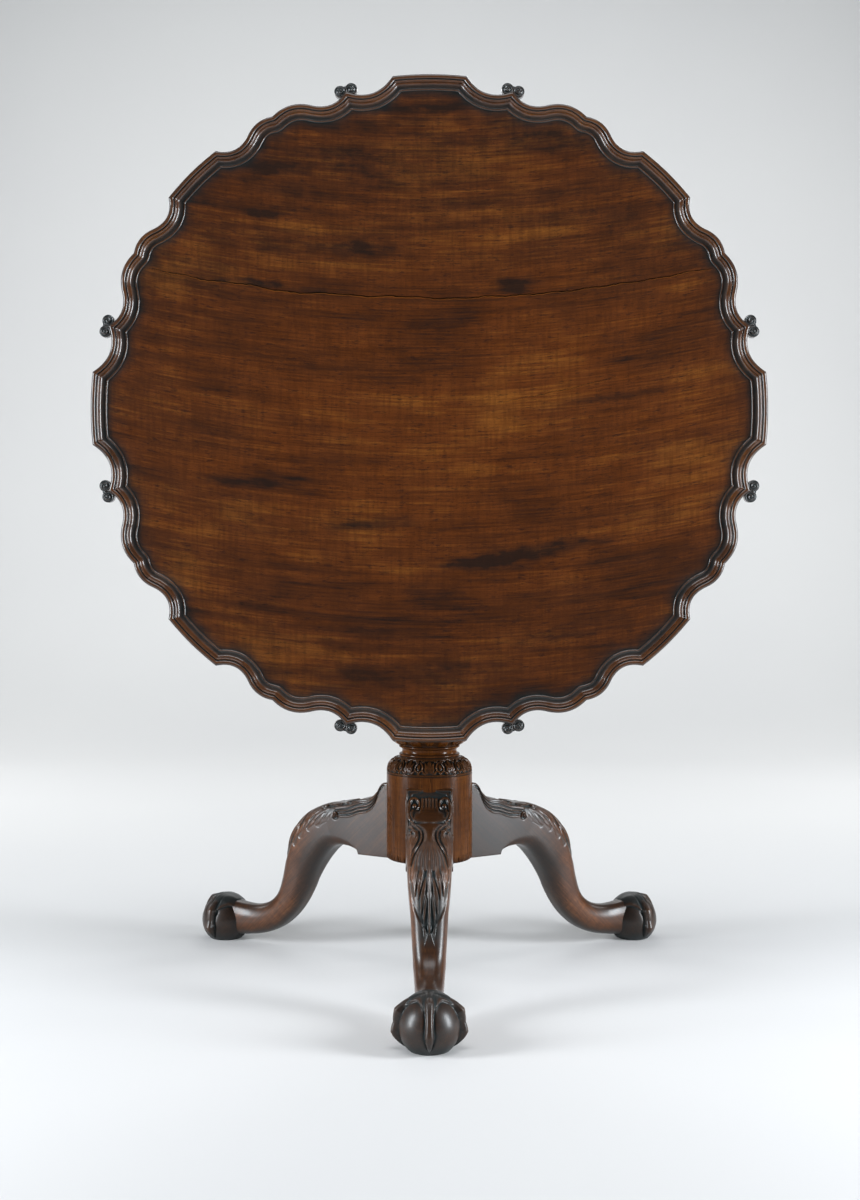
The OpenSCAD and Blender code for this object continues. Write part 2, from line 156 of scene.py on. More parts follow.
class Nodes:
    """Builds one material's nodes with short calls."""

    def __init__(self, name):
        self.material = bpy.data.materials.new(name)
        self.material.use_nodes = True
        self.tree = self.material.node_tree
        self.tree.nodes.clear()
        self.shader = self.tree.nodes.new("ShaderNodeBsdfPrincipled")
        output = self.tree.nodes.new("ShaderNodeOutputMaterial")
        self.tree.links.new(self.shader.outputs[0], output.inputs[0])

    def put(self, socket, value):
        if isinstance(value, bpy.types.NodeSocket):
            self.tree.links.new(value, socket)
        elif value is not None:
            socket.default_value = value

    def node(self, kind, **inputs):
        made = self.tree.nodes.new("ShaderNode" + kind)
        for key, value in inputs.items():
            self.put(made.inputs[key.replace("_", " ")], value)
        return made

    def math(self, op, a, b=None, clamp=False):
        made = self.tree.nodes.new("ShaderNodeMath")
        made.operation = op
        made.use_clamp = clamp
        self.put(made.inputs[0], a)
        self.put(made.inputs[1], b)
        return made.outputs[0]

    def total(self, *parts):
        """Sum of values, each times its weight."""
        out = None
        for value, weight in parts:
            part = self.math("MULTIPLY", value, weight)
            out = part if out is None else self.math("ADD", out, part)
        return out

    def stretch(self, vector, scale, move=(0, 0, 0)):
        made = self.tree.nodes.new("ShaderNodeMapping")
        self.put(made.inputs["Vector"], vector)
        made.inputs["Scale"].default_value = scale
        made.inputs["Location"].default_value = move
        return made.outputs[0]

    def noise(self, vector, scale=1.0, detail=4.0, rough=0.55, distort=0.0):
        made = self.node("TexNoise", Vector=vector, Scale=scale, Detail=detail, Roughness=rough,
                         Distortion=distort)
        return made.outputs["Fac"]

    def ramp(self, value, stops):
        made = self.tree.nodes.new("ShaderNodeValToRGB")
        self.put(made.inputs[0], value)
        band = made.color_ramp
        while len(band.elements) < len(stops):
            band.elements.new(0.5)
        for element, (at, colour) in zip(band.elements, stops):
            element.position = at
            grey = not isinstance(colour, (tuple, list))
            element.color = (colour, colour, colour, 1) if grey else (*colour, 1)
        return made.outputs[0]

    def mix(self, factor, a, b, kind="MIX"):
        made = self.tree.nodes.new("ShaderNodeMix")
        made.data_type = "RGBA"
        made.blend_type = kind
        for socket, value in zip((made.inputs[0], made.inputs[6], made.inputs[7]), (factor, a, b)):
            if isinstance(value, (tuple, list)) and len(value) == 3:
                value = (*value, 1)
            self.put(socket, value)
        return made.outputs[2]

    def value(self, name):
        made = self.tree.nodes.new("ShaderNodeAttribute")
        made.attribute_name = name
        return made.outputs["Fac"]

    def place(self):
        return self.tree.nodes.new("ShaderNodeTexCoord").outputs["Object"]

    def bump(self, height, distance, strength):
        return self.node("Bump", Height=height, Strength=strength, Distance=distance).outputs[0]

    def finish(self, colour=None, rough=None, normal=None, **constants):
        self.put(self.shader.inputs["Base Color"], colour)
        self.put(self.shader.inputs["Roughness"], rough)
        self.put(self.shader.inputs["Normal"], normal)
        for key, value in constants.items():
            self.shader.inputs[key.replace("_", " ")].default_value = value
        return self.material


# Darkest streak, common brown and brightest gold of each wood, as linear colours
TOP_WOOD = ((0.014, 0.0060, 0.0034), (0.096, 0.0250, 0.0040), (0.175, 0.058, 0.0085))
HUB_WOOD = ((0.018, 0.007, 0.0030), (0.080, 0.0245, 0.0045), (0.140, 0.050, 0.0095))
LEG_WOOD = ((0.018, 0.0076, 0.0034), (0.044, 0.0158, 0.0050), (0.084, 0.0315, 0.0085))
UNDER_WOOD = ((0.028, 0.014, 0.008), (0.085, 0.034, 0.013), (0.130, 0.056, 0.022))
INNER_WOOD = ((0.035, 0.020, 0.012), (0.110, 0.052, 0.024), (0.165, 0.085, 0.040))
# Teal painted shade for recesses, creases and undersides, with some dirt in it
SHADE_AND_DIRT = (0.0022, 0.0080, 0.0090)
STAIN = (0.0105, 0.0058, 0.0040)
PAINTED_LIGHT_GAIN = (2.3, 2.1, 1.8)       # how much paler the painted light makes the legs' sides


def shade(colour, much):
    return tuple(much * c for c in colour)


GRAIN = {  # stretch along and across the grain, offset, detail, roughness, distortion
    "broad": (1.7, 10, (0, 0, 0), 4, 0.55, 0.25), "streak": (4.5, 62, (3, 1, 7), 5, 0.6, 0.1),
    "fine": (14, 460, (1, 5, 2), 3, 0.6, 0.0), "cloud": (7, 13, (6, 2, 2), 4, 0.6, 0.0),
    "ribbon": (190, 22, (2, 9, 4), 3, 0.6, 0.0), "flecks": (70, 430, (7, 2, 5), 4, 0.7, 0.0),
    "pores": (160, 1700, (4, 4, 4), 2, 0.7, 0.0), "grime": (26, 60, (8, 3, 3), 5, 0.65, 0.0)}


def mahogany(name, wood, turn=(0, 0, 0), centre=(0, 0, 0), bow=0.0, polish=0.5, rough=0.34,
             shine=0.25, coat_rough=0.13, tint=(1, 1, 1), carved=True, stained=False):
    """Old mahogany with its grain along X after turn: streaks, ribbon figure, flecks and pores.

    Point values of the mesh add old stains (stain), painted shade with some dirt (hollow),
    rubbed wear with painted highlights (crest) and painted light on the legs' sides (warm).
    """
    n = Nodes(name)
    dark, brown, gold = wood
    at = n.tree.nodes.new("ShaderNodeMapping")
    at.vector_type = "TEXTURE"
    n.put(at.inputs["Vector"], n.place())
    at.inputs["Rotation"].default_value = turn
    at.inputs["Location"].default_value = centre
    at = at.outputs[0]
    if bow:
        axes = n.node("SeparateXYZ", Vector=at)
        lift = n.math("MULTIPLY", n.math("MULTIPLY", axes.outputs[0], axes.outputs[0]), -bow)
        lift = n.math("ADD", axes.outputs[2], lift)
        at = n.node("CombineXYZ", X=axes.outputs[0], Y=axes.outputs[1], Z=lift).outputs[0]
    broad, streak, fine, cloud, ribbon, flecks, pores, grime = (
        n.noise(n.stretch(at, (along, across, across), move), 1.0, *texture)
        for along, across, move, *texture in GRAIN.values())
    figure = n.total((broad, 0.24), (streak, 0.20), (fine, 0.26), (cloud, 0.30))
    colour = n.ramp(figure, ((0.37, dark), (0.445, shade(brown, 0.66)), (0.51, brown), (0.60, gold)))
    colour = n.mix(n.ramp(ribbon, ((0.38, 0.34), (0.56, 0.0))), colour, shade(brown, 0.45))
    colour = n.mix(n.ramp(flecks, ((0.33, 0.75), (0.44, 0.0))), colour, dark)
    colour = n.mix(n.ramp(pores, ((0.28, 0.8), (0.41, 0.0))), colour, shade(dark, 0.25))
    if stained:
        stain = n.math("MULTIPLY", n.value("stain"), n.ramp(streak, ((0.38, 1.25), (0.66, 0.45))))
        stain = n.math("MULTIPLY", stain, n.ramp(grime, ((0.36, 0.5), (0.60, 1.15))))
        colour = n.mix(n.math("MINIMUM", stain, 0.88), colour, STAIN)
    gloss = n.ramp(grime, ((0.3, rough + 0.06), (0.7, rough - 0.04)))
    if carved:
        hollow, crest = n.value("hollow"), n.value("crest")
        # painted shade with some dirt: the hollow value, varied by the grime noise, darkens towards
        # the teal shade colour
        hide = n.math("ADD", hollow, n.math("MULTIPLY", n.math("SUBTRACT", grime, 0.5), 0.5))
        hide = n.math("MULTIPLY", hide, n.math("GREATER_THAN", hollow, 0.01), clamp=True)
        colour = n.mix(n.math("MULTIPLY", hide, 0.95), colour, SHADE_AND_DIRT)
        # painted light: the legs' sides paler where the warm value is high
        colour = n.mix(n.value("warm"), colour, PAINTED_LIGHT_GAIN, "MULTIPLY")
        # rubbed wear and a painted highlight: crests and lit edges turn towards pale gold
        wear_and_highlight = n.math("MULTIPLY", crest, n.ramp(grime, ((0.35, 0.15), (0.65, 0.6))))
        colour = n.mix(wear_and_highlight, colour, shade(gold, 1.1))
        gloss = n.total((gloss, 1.0), (hollow, 0.25), (crest, -0.10))
    normal = n.bump(n.total((pores, -0.5), (fine, 0.35)), 0.00010, 0.5)
    return n.finish(colour, gloss, normal, Coat_Weight=polish, Coat_Roughness=coat_rough,
                    Coat_IOR=1.45, Specular_IOR_Level=shine, Specular_Tint=(*tint, 1))


def brass():
    n = Nodes("aged_brass")
    at = n.place()
    patch = n.noise(at, 260, 5, 0.6)
    spots = n.noise(at, 1500, 3, 0.7)
    colour = n.ramp(patch, ((0.3, (0.10, 0.062, 0.022)), (0.5, (0.33, 0.21, 0.07)),
                            (0.7, (0.52, 0.36, 0.14))))
    colour = n.mix(n.ramp(spots, ((0.3, 0.6), (0.45, 0.0))), colour, (0.05, 0.035, 0.015))
    rough = n.ramp(patch, ((0.3, 0.52), (0.7, 0.30)))
    return n.finish(colour, rough, n.bump(spots, 0.00006, 0.5), Metallic=1.0)


def iron():
    n = Nodes("forged_iron")
    at = n.place()
    scale = n.noise(at, 120, 6, 0.65)
    rust = n.noise(n.stretch(at, (1, 1, 1), (3, 1, 2)), 60, 5, 0.7)
    colour = n.ramp(scale, ((0.3, (0.02, 0.02, 0.02)), (0.7, (0.07, 0.0675, 0.065))))
    colour = n.mix(n.ramp(rust, ((0.50, 0.0), (0.68, 0.7))), colour, (0.09, 0.032, 0.014))
    rough = n.ramp(scale, ((0.3, 0.75), (0.7, 0.48)))
    return n.finish(colour, rough, n.bump(scale, 0.0004, 0.7), Metallic=0.6)


def steel():
    n = Nodes("spring_steel")
    at = n.place()
    patch = n.noise(at, 400, 4, 0.6)
    colour = n.ramp(patch, ((0.3, (0.16, 0.15, 0.14)), (0.7, (0.42, 0.41, 0.39))))
    return n.finish(colour, n.ramp(patch, ((0.3, 0.5), (0.7, 0.3))), n.bump(patch, 0.00003, 0.4),
                    Metallic=1.0)


# ---------------------------------------------------------------- the top

# One eighth of the outline: angle from the middle of a side, radius in millimetres, and how
# far the curve to the next point stands out from its chord
RIM_POINTS = ((0, 450, 0.7), (6.3, 450, -13), (14.6, 440.6, -8.8), (21, 437.3, 7.7),
              (28, 444.9, 5.5), (33.3, 439.3, -9.4), (39.3, 448, 0.6), (45, 448.5, 0))
RIM_STEP = 1.7
INSIDE_RIM = 380.0      # a radius that is inside the rim everywhere
HALVINGS = 16           # of the span in which an inset line is sought

# Section of the moulded rim: distance in from the edge, height over the underside, painted shade with
# some dirt, wear with painted highlight
MOULDING = np.array([
    (0.0, 18.6, 0.6, 0), (0.2, 20.6, 0.6, 0), (0.8, 22.2, 0.55, 0), (1.9, 23.3, 0.5, 0),
    (3.3, 23.8, 0.3, 0.2), (4.7, 23.5, 0, 0.4), (5.8, 22.7, 0.4, 0), (6.5, 21.4, 1, 0),
    (6.9, 20.7, 1, 0), (7.2, 21.0, 1, 0), (7.8, 22.0, 0.4, 0), (8.5, 22.2, 0, 0.5),
    (9.2, 21.8, 0, 0), (9.9, 20.9, 0.3, 0), (10.5, 19.6, 0.3, 0), (11.1, 18.3, 0, 0),
    (11.9, 17.1, 0, 0), (13.0, 16.2, 0.5, 0), (14.6, 15.6, 0.75, 0), (16.4, 15.3, 0.8, 0),
    (17.8, 15.4, 0.8, 0), (18.8, 16.1, 0.45, 0), (19.5, 16.4, 0, 0.35), (20.1, 16.1, 0.6, 0),
    (20.7, 15.2, 1, 0), (21.0, 14.6, 1, 0)])
# The same of the edge and underside, from the rim back to the flat underside
EDGE = np.array([(0.0, 17.0, 0.45, 0), (0.0, 13.0, 0.45, 0), (0.3, 10.0, 0.45, 0), (1.6, 7.0, 0, 0),
                 (4.2, 4.0, 0, 0), (8.2, 1.6, 0, 0), (13.0, 0.3, 0, 0), (17.0, 0.0, 0, 0)])
RIM_SWELL = 0.132       # unevenness of the rim's height
RIM_STAIN = 0.12
RIM_OVERLAP = 0.4       # how far the rim's finish runs on to the tray's floor, millimetres
UNDERSIDE_DEPTH = 2.2   # how far from the back faces still count as underside, millimetres
CREASE = 50             # edges sharper than this stay sharp, degrees


def rim_line():
    """Outline of one eighth: points, and the indices of the named points along it."""
    ends = [np.array([r * math.sin(math.radians(a)), r * math.cos(math.radians(a))])
            for a, r, _ in RIM_POINTS]
    points, marks = [], [0]
    for (_, _, rise), a, b in zip(RIM_POINTS, ends, ends[1:]):
        d = b - a
        out = np.array([-d[1], d[0]]) / np.linalg.norm(d)
        count = max(4, round(np.linalg.norm(d) * 1.1 / RIM_STEP))
        t = np.arange(count)[:, None] / count
        points.append(a + d * t + out * rise * 4 * t * (1 - t))
        marks.append(marks[-1] + count)
    return np.vstack(points + [ends[-1][None]]), marks


def distance_to(points, line):
    """Distance from each point to a line of straight pieces."""
    a, b = line[:-1], line[1:]
    d = b - a
    t = ((points[:, None] - a) * d).sum(2) / (d * d).sum(1)
    near = a + np.clip(t, 0, 1)[..., None] * d
    return np.linalg.norm(points[:, None] - near, axis=2).min(1)


def rim_rings(insets):
    """Points at each distance in from the outline, for one eighth: (ring, place, 2)."""
    line, marks = rim_line()
    mirrored = line[::-1, ::-1]
    left = line[::-1] * (-1, 1)
    around = np.vstack([left[:-1], line[:-1], mirrored])
    angle = np.arctan2(line[:, 0], line[:, 1])
    deepest = max(insets)
    keys, moved = [0.0, angle[-1]], [0.0, angle[-1]]
    for k in (1, 2, 4, 6):
        i = marks[k]
        before, after = line[i] - line[i - 1], line[i + 1] - line[i]
        before, after = before / np.linalg.norm(before), after / np.linalg.norm(after)
        inward = after - before
        half = math.acos(np.clip(-before @ after, -1, 1)) / 2
        inward /= np.linalg.norm(inward)
        reach = deepest / math.sin(half)
        if inward @ line[i] > 0:
            inward, reach = -inward, deepest
        tip = line[i] + inward * reach
        keys.append(angle[i])
        moved.append(math.atan2(tip[0], tip[1]))
    order = np.argsort(keys)
    inner = np.interp(angle, np.array(keys)[order], np.array(moved)[order])
    rings = []
    for d in insets:
        turn = angle + (inner - angle) * d / deepest
        way = np.stack([np.sin(turn), np.cos(turn)], axis=1)
        if d == 0:
            rings.append(line)
            continue
        low = np.full(len(way), INSIDE_RIM)
        high = np.interp(turn, angle, np.linalg.norm(line, axis=1))
        for _ in range(HALVINGS):
            middle = (low + high) / 2
            outside = distance_to(way * middle[:, None], around) < d
            high = np.where(outside, middle, high)
            low = np.where(outside, low, middle)
        rings.append(way * ((low + high) / 2)[:, None])
    return np.array(rings)


def all_round(eighth):
    """Repeats the points of one eighth, (ring, place, 2), round the whole top."""
    quarter = np.concatenate([eighth[:, :-1], eighth[:, :0:-1, ::-1]], axis=1)
    parts = []
    for q in range(4):
        c, s = round(math.cos(q * math.pi / 2)), round(math.sin(q * math.pi / 2))
        parts.append(quarter @ np.array([[c, -s], [s, c]]))
    return np.concatenate(parts, axis=1)


def on_top(x, v, h):
    """From the top's own millimetres, across, up and over the underside, to the row frame."""
    return np.stack([np.asarray(x) * MM, TOP_BACK - np.asarray(h) * MM,
                     TOP_Z + np.asarray(v) * SHRINK * MM], axis=-1)


CRACK_RISE = 0.0002846      # the grain's bow: rise over distance squared, per millimetre
CRACKS = (  # left end, right end, height at the middle, half width, depth, extra slope
    (-372, 378, 150.0, 0.85, 3.2, 0.0),
    (88, 252, 6.0, 0.32, 1.2, 0.12))
CRACK_STEP, FLOOR_STEP = 2.5, 4.2


def crack_line(x, crack):
    left, _, height, _, _, slope = crack
    wobble = 1.5 * waves(x / 60, 0 * x, 5, 6, 0.3, 1.6) + 0.35 * waves(x / 9, 0 * x, 6, 6, 0.4, 1.4)
    return height + CRACK_RISE * x * x + slope * (x - left) + wobble


STAINS = (  # middle, half length, half height, strength, slope
    (125, -195, 95, 9, 1.9, -0.16), (60, -212, 60, 5, 1.4, 0.0), (-205, 326, 60, 15, 1.15, 0.05),
    (-225, 262, 38, 12, 1.2, 0.0), (-100, 216, 60, 10, 1.1, 0.02), (112, 166, 26, 11, 1.5, 0.0),
    (-235, -98, 75, 8, 1.3, 0.02), (-85, -156, 62, 8, 1.0, -0.08), (-290, 120, 60, 14, 0.35, 0.1),
    (255, 175, 90, 14, 0.45, -0.2), (235, 15, 80, 6, 0.55, -0.14), (190, -300, 110, 16, 0.85, -0.22),
    (-320, -20, 60, 16, 0.4, 0.0), (20, 330, 150, 22, 0.35, 0.0), (-230, -250, 60, 5, 0.6, 0.3),
    (-228, 169, 42, 5.5, 1.9, 0.13), (-276, 173, 14, 4, 1.5, 0.16), (-160, 160, 40, 4.5, 1.3, 0.09),
    (300, -205, 70, 20, 0.45, -0.25), (-60, 60, 160, 8, 0.25, -0.03), (70, -330, 120, 14, 0.4, 0.0))


def stain_at(x, v):
    """How dark the old stains are at a place, with the surface darker towards its edge and its top."""
    away = np.hypot((x - 60) / 1.45, v + 10) / 430
    total = 0.52 * smoothstep(0.2, 1.0, away) + 0.09 * waves(x / 150, v / 70, 2, 9, 0.5, 1.6)
    total += 0.10 * smoothstep(60, 260, v)
    for cx, cv, across, up, strength, slope in STAINS:
        rise = (v - cv) + slope * (x - cx)
        edge = 1 + 0.35 * waves(x / 45, v / 14, int(abs(cx) + 7), 7, 0.4, 1.6)
        reach = ((x - cx) / across) ** 2 + (rise / up) ** 2
        total = np.maximum(total, strength * np.exp(-1.1 * reach * edge))
    return total


def room_at(loop, x, v):
    """How far out a line round the top lies in the direction of each place."""
    bearing = np.arctan2(loop[:, 0], loop[:, 1])
    order = np.argsort(bearing)
    away = np.hypot(loop[:, 0], loop[:, 1])
    return np.interp(np.arctan2(x, v), bearing[order], away[order], period=2 * math.pi)


def crack_lines(crack):
    """Lines of points along a crack, the middle, both lips and two lines below that bound a painted
    highlight, and its taper.
    """
    left, right, _, half, _, _ = crack
    x = np.arange(left, right + 1.0, CRACK_STEP)
    v = crack_line(x, crack)
    taper = np.sin(np.linspace(0, math.pi, len(x))) ** 0.2
    wide = half * taper * (0.75 + 0.35 * np.abs(waves(x / 25, 0 * x, 12, 6, 0.5, 2)))
    sides = [np.stack([x[1:-1], v[1:-1] + gap[1:-1]], axis=1)
             for gap in (wide, -wide, -wide - 0.9, -wide - 1.3)]
    return [np.stack([x, v], axis=1)] + sides, taper


def floor_grid(boundary):
    """Staggered grid of points inside a boundary, clear of the cracks."""
    ticks = np.arange(-430, 431, FLOOR_STEP)
    x, v = np.meshgrid(ticks, ticks)
    x = x + (np.arange(len(ticks)) % 2 * FLOOR_STEP / 2)[:, None]
    x, v = x.ravel(), v.ravel()
    inside = np.hypot(x, v) < room_at(boundary, x, v) - 4
    for crack in CRACKS:
        near = np.abs(v - crack_line(x, crack)) < 3.0
        inside &= ~(near & (x > crack[0] - 3) & (x < crack[1] + 3))
    return np.stack([x[inside], v[inside]], axis=1)


def tray_floor(boundary):
    """Flat of the tray inside the moulding: points, triangles, depth of cracks, painted highlights
    along their lower edges.
    """
    start = len(boundary)
    edges = [(i, (i + 1) % start) for i in range(start)]
    loops, depth_of, lit_of = [boundary], {}, {}
    for crack in CRACKS:
        lines, taper = crack_lines(crack)
        half, depth = crack[3:5]
        loops += lines
        count, inner = len(taper), len(taper) - 2
        edges += [(start + i, start + i + 1) for i in range(count - 1)]
        for k in range(4):
            first = start + count + k * inner
            edges += [(first + i, first + i + 1) for i in range(inner - 1)]
            if k < 2:
                edges += [(start, first), (first + inner - 1, start + count - 1)]
        for i in range(1, count - 1):
            depth_of[start + i] = depth * taper[i]
            # painted highlight along the crack's lower lip and just below it
            for row in (1, 2):
                lit_of[start + count + row * inner + i - 1] = min(1, 1.2 * half) * taper[i]
        start += count + 4 * inner
    points = np.vstack(loops + [floor_grid(boundary)])
    verts, _, tris, origin, _, _ = geometry.delaunay_2d_cdt(
        [Vector(p) for p in points], edges, [list(range(len(boundary)))], 1, 1e-5)
    sunk, lit = (np.array([max((found.get(k, 0) for k in from_list), default=0)
                           for from_list in origin]) for found in (depth_of, lit_of))
    return np.array([v[:] for v in verts]), [list(t) for t in tris], sunk, lit


def rim_grid():
    """Rings from the tray's edge out over the rim to the flat underside, with their values."""
    rings = np.concatenate([all_round(rim_rings(MOULDING[:, 0]))[::-1],
                            all_round(rim_rings(EDGE[:, 0]))])
    x, v = rings[..., 0], rings[..., 1]
    section = np.vstack([MOULDING[::-1], EDGE])
    h, hollow, crest = (np.outer(column, np.ones(x.shape[1])) for column in section.T[1:])
    moulded = slice(1, len(MOULDING))
    h[moulded] += RIM_SWELL * waves(x / 130, v / 130, 3, 9, 0.5, 1.6)[moulded]
    return rings, h, hollow, crest


def share_faces(mesh, boundary):
    """Gives the rim's faces the second material and the underside's the third."""
    middles = np.empty(len(mesh.polygons) * 3)
    mesh.polygons.foreach_get("center", middles)
    x, depth, z = middles.reshape(-1, 3).T
    x, v = x / MM, (z - TOP_Z) / SHRINK / MM
    which = np.where(np.hypot(x, v) > room_at(boundary, x, v) - RIM_OVERLAP, 1, 0)
    which = np.where(depth > TOP_BACK - UNDERSIDE_DEPTH * MM, 2, which)
    mesh.polygons.foreach_set("material_index", which.astype(np.int32))


def build_top(material, rim, under):
    rings, h, hollow, crest = rim_grid()
    rows, cols = h.shape
    floor, tris, sunk, lit = tray_floor(rings[0])
    x, v = floor.T
    edge_gap = room_at(rings[0], x, v) - np.hypot(x, v)
    wave = 0.20 * waves(x / 150, v / 150, 4, 9, 0.4, 1.5)
    wave += 0.05 * waves(x / 40, v / 40, 8, 9, 0.5, 1.6)
    floor_h = TRAY_H + wave * smoothstep(0, 25, edge_gap) - sunk
    verts = np.vstack([on_top(rings[..., 0], rings[..., 1], h).reshape(-1, 3),
                       on_top(x, v, floor_h), on_top([0], [0], [0])])
    faces = grid_faces(rows, cols) + [[rows * cols + i for i in t] for t in tris]
    faces += fan(len(verts) - 1, (rows - 1) * cols, cols)
    # painted shade in the cracks and in the floor's corner along the moulding
    floor_hollow = np.clip(sunk * 2, 0, 1) + 0.8 * np.exp(-np.maximum(edge_gap, 0) / 6)
    values = {"hollow": (hollow.ravel(), np.clip(floor_hollow, 0, 1), [0]),
              "crest": (crest.ravel(), lit, [0]),
              "stain": (np.full(h.size, RIM_STAIN), stain_at(x, v), [0])}
    obj = make("piecrust_top", verts, faces, material,
               values={key: np.concatenate(parts) for key, parts in values.items()})
    weld(obj, 0.00002, CREASE)
    obj.data.materials.append(rim)
    obj.data.materials.append(under)
    share_faces(obj.data, rings[0])
    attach(obj, "top")
    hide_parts("top_board")


def weld(obj, distance, crease):
    """Joins points closer than a distance, and creases edges sharper than an angle."""
    bm = bmesh.new()
    bm.from_mesh(obj.data)
    bmesh.ops.remove_doubles(bm, verts=bm.verts, dist=distance)
    bmesh.ops.recalc_face_normals(bm, faces=bm.faces)
    bm.to_mesh(obj.data)
    bm.free()
    obj.data.set_sharp_from_angle(angle=math.radians(crease))


# ---------------------------------------------------------------- carving

class Relief:
    """Carving on unrolled wood, in millimetres: s along the piece, t out from its middle."""

    def __init__(self, length, width, step):
        self.step = step
        self.s, self.t = np.meshgrid(np.arange(0, length + step, step),
                                     np.arange(0, width + step, step), indexing="ij")
        self.h = np.zeros_like(self.s)

    def near(self, points, widths):
        """Window round a stroke, with each point's share of its half width and of its length."""
        line = smooth_line(points, 7) if len(points) > 2 else np.array(points, float)
        along = lengths(line) / max(lengths(line)[-1], 1e-9)
        half = np.interp(along, np.linspace(0, 1, len(widths)), widths)
        pad = max(widths) + 1
        low = np.maximum(((line.min(0) - pad) / self.step).astype(int), 0)
        high = ((line.max(0) + pad) / self.step).astype(int) + 2
        box = np.s_[low[0]:max(high[0], 0), low[1]:max(high[1], 0)]
        p = np.stack([self.s[box], self.t[box]], axis=-1)
        best = np.full(p.shape[:2], 1e9)
        place = np.zeros(p.shape[:2])
        for k in range(len(line) - 1):
            d = line[k + 1] - line[k]
            f = np.clip(((p - line[k]) @ d) / (d @ d + 1e-12), 0, 1)
            gap = np.linalg.norm(p - line[k] - f[..., None] * d, axis=-1)
            q = gap / (half[k] + (half[k + 1] - half[k]) * f + 1e-6)
            closer = q < best
            best = np.where(closer, q, best)
            place = np.where(closer, along[k] + (along[k + 1] - along[k]) * f, place)
        return box, best, place

    def sink(self, points, widths, depth):
        """Cuts the ground down round a stroke, with sloping sides."""
        box, q, _ = self.near(points, widths)
        self.h[box] = np.minimum(self.h[box], -depth * (1 - smoothstep(0.72, 1.0, q)))

    def ridge(self, points, widths, height, base=-1.6):
        """Raises a rounded band."""
        box, q, _ = self.near(points, widths)
        top = base + (height - base) * np.sqrt(np.clip(1 - q * q, 0, 1))
        self.h[box] = np.where(q < 1, np.maximum(self.h[box], top), self.h[box])

    def lobe(self, points, widths, height, base=-1.6, vein=0.35):
        """Raises a leaf's lobe: hollow between its margins, with a vein down the middle."""
        box, q, f = self.near(points, widths)
        rise = smoothstep(-0.25, 0.35, f) * (1 - 0.45 * smoothstep(0.7, 1.0, f))
        across = (1 - q ** 6) * (0.60 + 0.40 * smoothstep(0.1, 0.8, q))
        across += vein * np.exp(-(q / 0.16) ** 2)
        top = base + (height - base) * rise * across
        self.h[box] = np.where(q < 1, np.maximum(self.h[box], top), self.h[box])

    def groove(self, points, widths, depth):
        box, q, f = self.near(points, widths)
        self.h[box] -= depth * np.exp(-(q * 1.4) ** 2) * (1 - 0.6 * smoothstep(0.75, 1, f))

    def scroll(self, centre, radius, turn, height, base=-1.6):
        """Raises a small volute: a button with a channel wound round it."""
        a = np.linspace(0, 1.6 * math.pi, 14)
        r = radius * (1 - 0.35 * a / a[-1])
        path = np.stack([centre[0] + r * np.cos(turn + a), centre[1] + r * np.sin(turn + a)], axis=1)
        self.sink([centre, (centre[0] + 0.01, centre[1])], [radius * 1.7] * 2, -base)
        self.ridge(path[::2], [radius * 0.34] * 4, height, base)
        self.ridge([centre, (centre[0] + 0.01, centre[1])], [radius * 0.42] * 2, height * 1.1, base)

    def blur(self, reach):
        """Mean height over a square of about this reach."""
        n = max(1, round(reach / self.step))
        out = self.h
        for axis in (0, 1):
            out = out.T if axis else out
            before = out[n:0:-1] if axis else np.repeat(out[:1], n, 0)
            padded = np.concatenate([before, out, np.repeat(out[-1:], n, 0)])
            total = np.concatenate([np.zeros_like(out[:1]), np.cumsum(padded, axis=0)])
            out = (total[2 * n + 1:] - total[:len(out)]) / (2 * n + 1)
            out = out.T if axis else out
        return out

    def read(self, field, s, t):
        """Values of a field at places, zero beyond its ends."""
        i = np.clip(s / self.step, 0, field.shape[0] - 1.001)
        j = np.clip(np.abs(t) / self.step, 0, field.shape[1] - 1.001)
        a, b = i.astype(int), j.astype(int)
        u, v = i - a, j - b
        value = ((field[a, b] * (1 - u) + field[a + 1, b] * u) * (1 - v)
                 + (field[a, b + 1] * (1 - u) + field[a + 1, b + 1] * u) * v)
        outside = (s < 0) | (s > self.s[-1, 0]) | (np.abs(t) > self.t[0, -1])
        return np.where(outside, 0, value)


GROUND = 1.7        # depth of the carved ground
CARVED_LENGTH = 296
CARVED_WIDTH = 62
# Half width of the knee's waisted body, by distance along the leg
WAIST = np.array([(88, 18), (98, 15), (108, 11), (118, 8.6), (128, 7.6), (142, 8.2), (152, 11.2),
                  (162, 16.2), (172, 21.2), (182, 23.4), (192, 24)])
FLUTES = 4.5        # of the body's end, in each half


def carve_ground(r):
    """Sinks the top panel, the grounds and the band along the top's edge; returns the band."""
    s, t = r.s, r.t
    border = np.interp(s, (0, 4, 12, 24, 40, 72, 90, 101), (34, 38, 42, 45.5, 47, 47, 45.5, 43))
    band = (t > 34.2) & (t < border) & (s < 101)
    panel = (s > 7) & (s < 124) & (t < 29.8)
    r.h = np.where(band, -1.5, np.where(panel, -GROUND, 0.0))
    r.sink([(9, 0), (14, 10), (15, 20)], [8, 7, 5], 2.6)
    # Deep ground between the waist and the side leaves, under the hooks, and down the shin
    r.sink([(88, 23), (104, 18), (122, 13.5), (142, 12.5), (156, 17), (167, 24), (180, 28)],
           [4, 5, 6, 6, 5, 5, 4], 2.5)
    for side in ((108, 37), (126, 40), (146, 37), (168, 33), (186, 30)):
        r.sink([side, (side[0] + 16, side[1] + 6)], [9, 6], 0.8)
    r.sink([(180, 13), (216, 14), (246, 8), (270, 0)], [21, 19, 12, 4], 1.6)
    for side in (((8, 36.4), (30, 37.8), (60, 38.4), (97, 37)),
                 ((18, 40.6), (36, 42.6), (60, 43), (94, 41))):
        r.ridge(side, [0.8, 1.5, 1.6, 0.8], 0.1, -1.5)
    return band


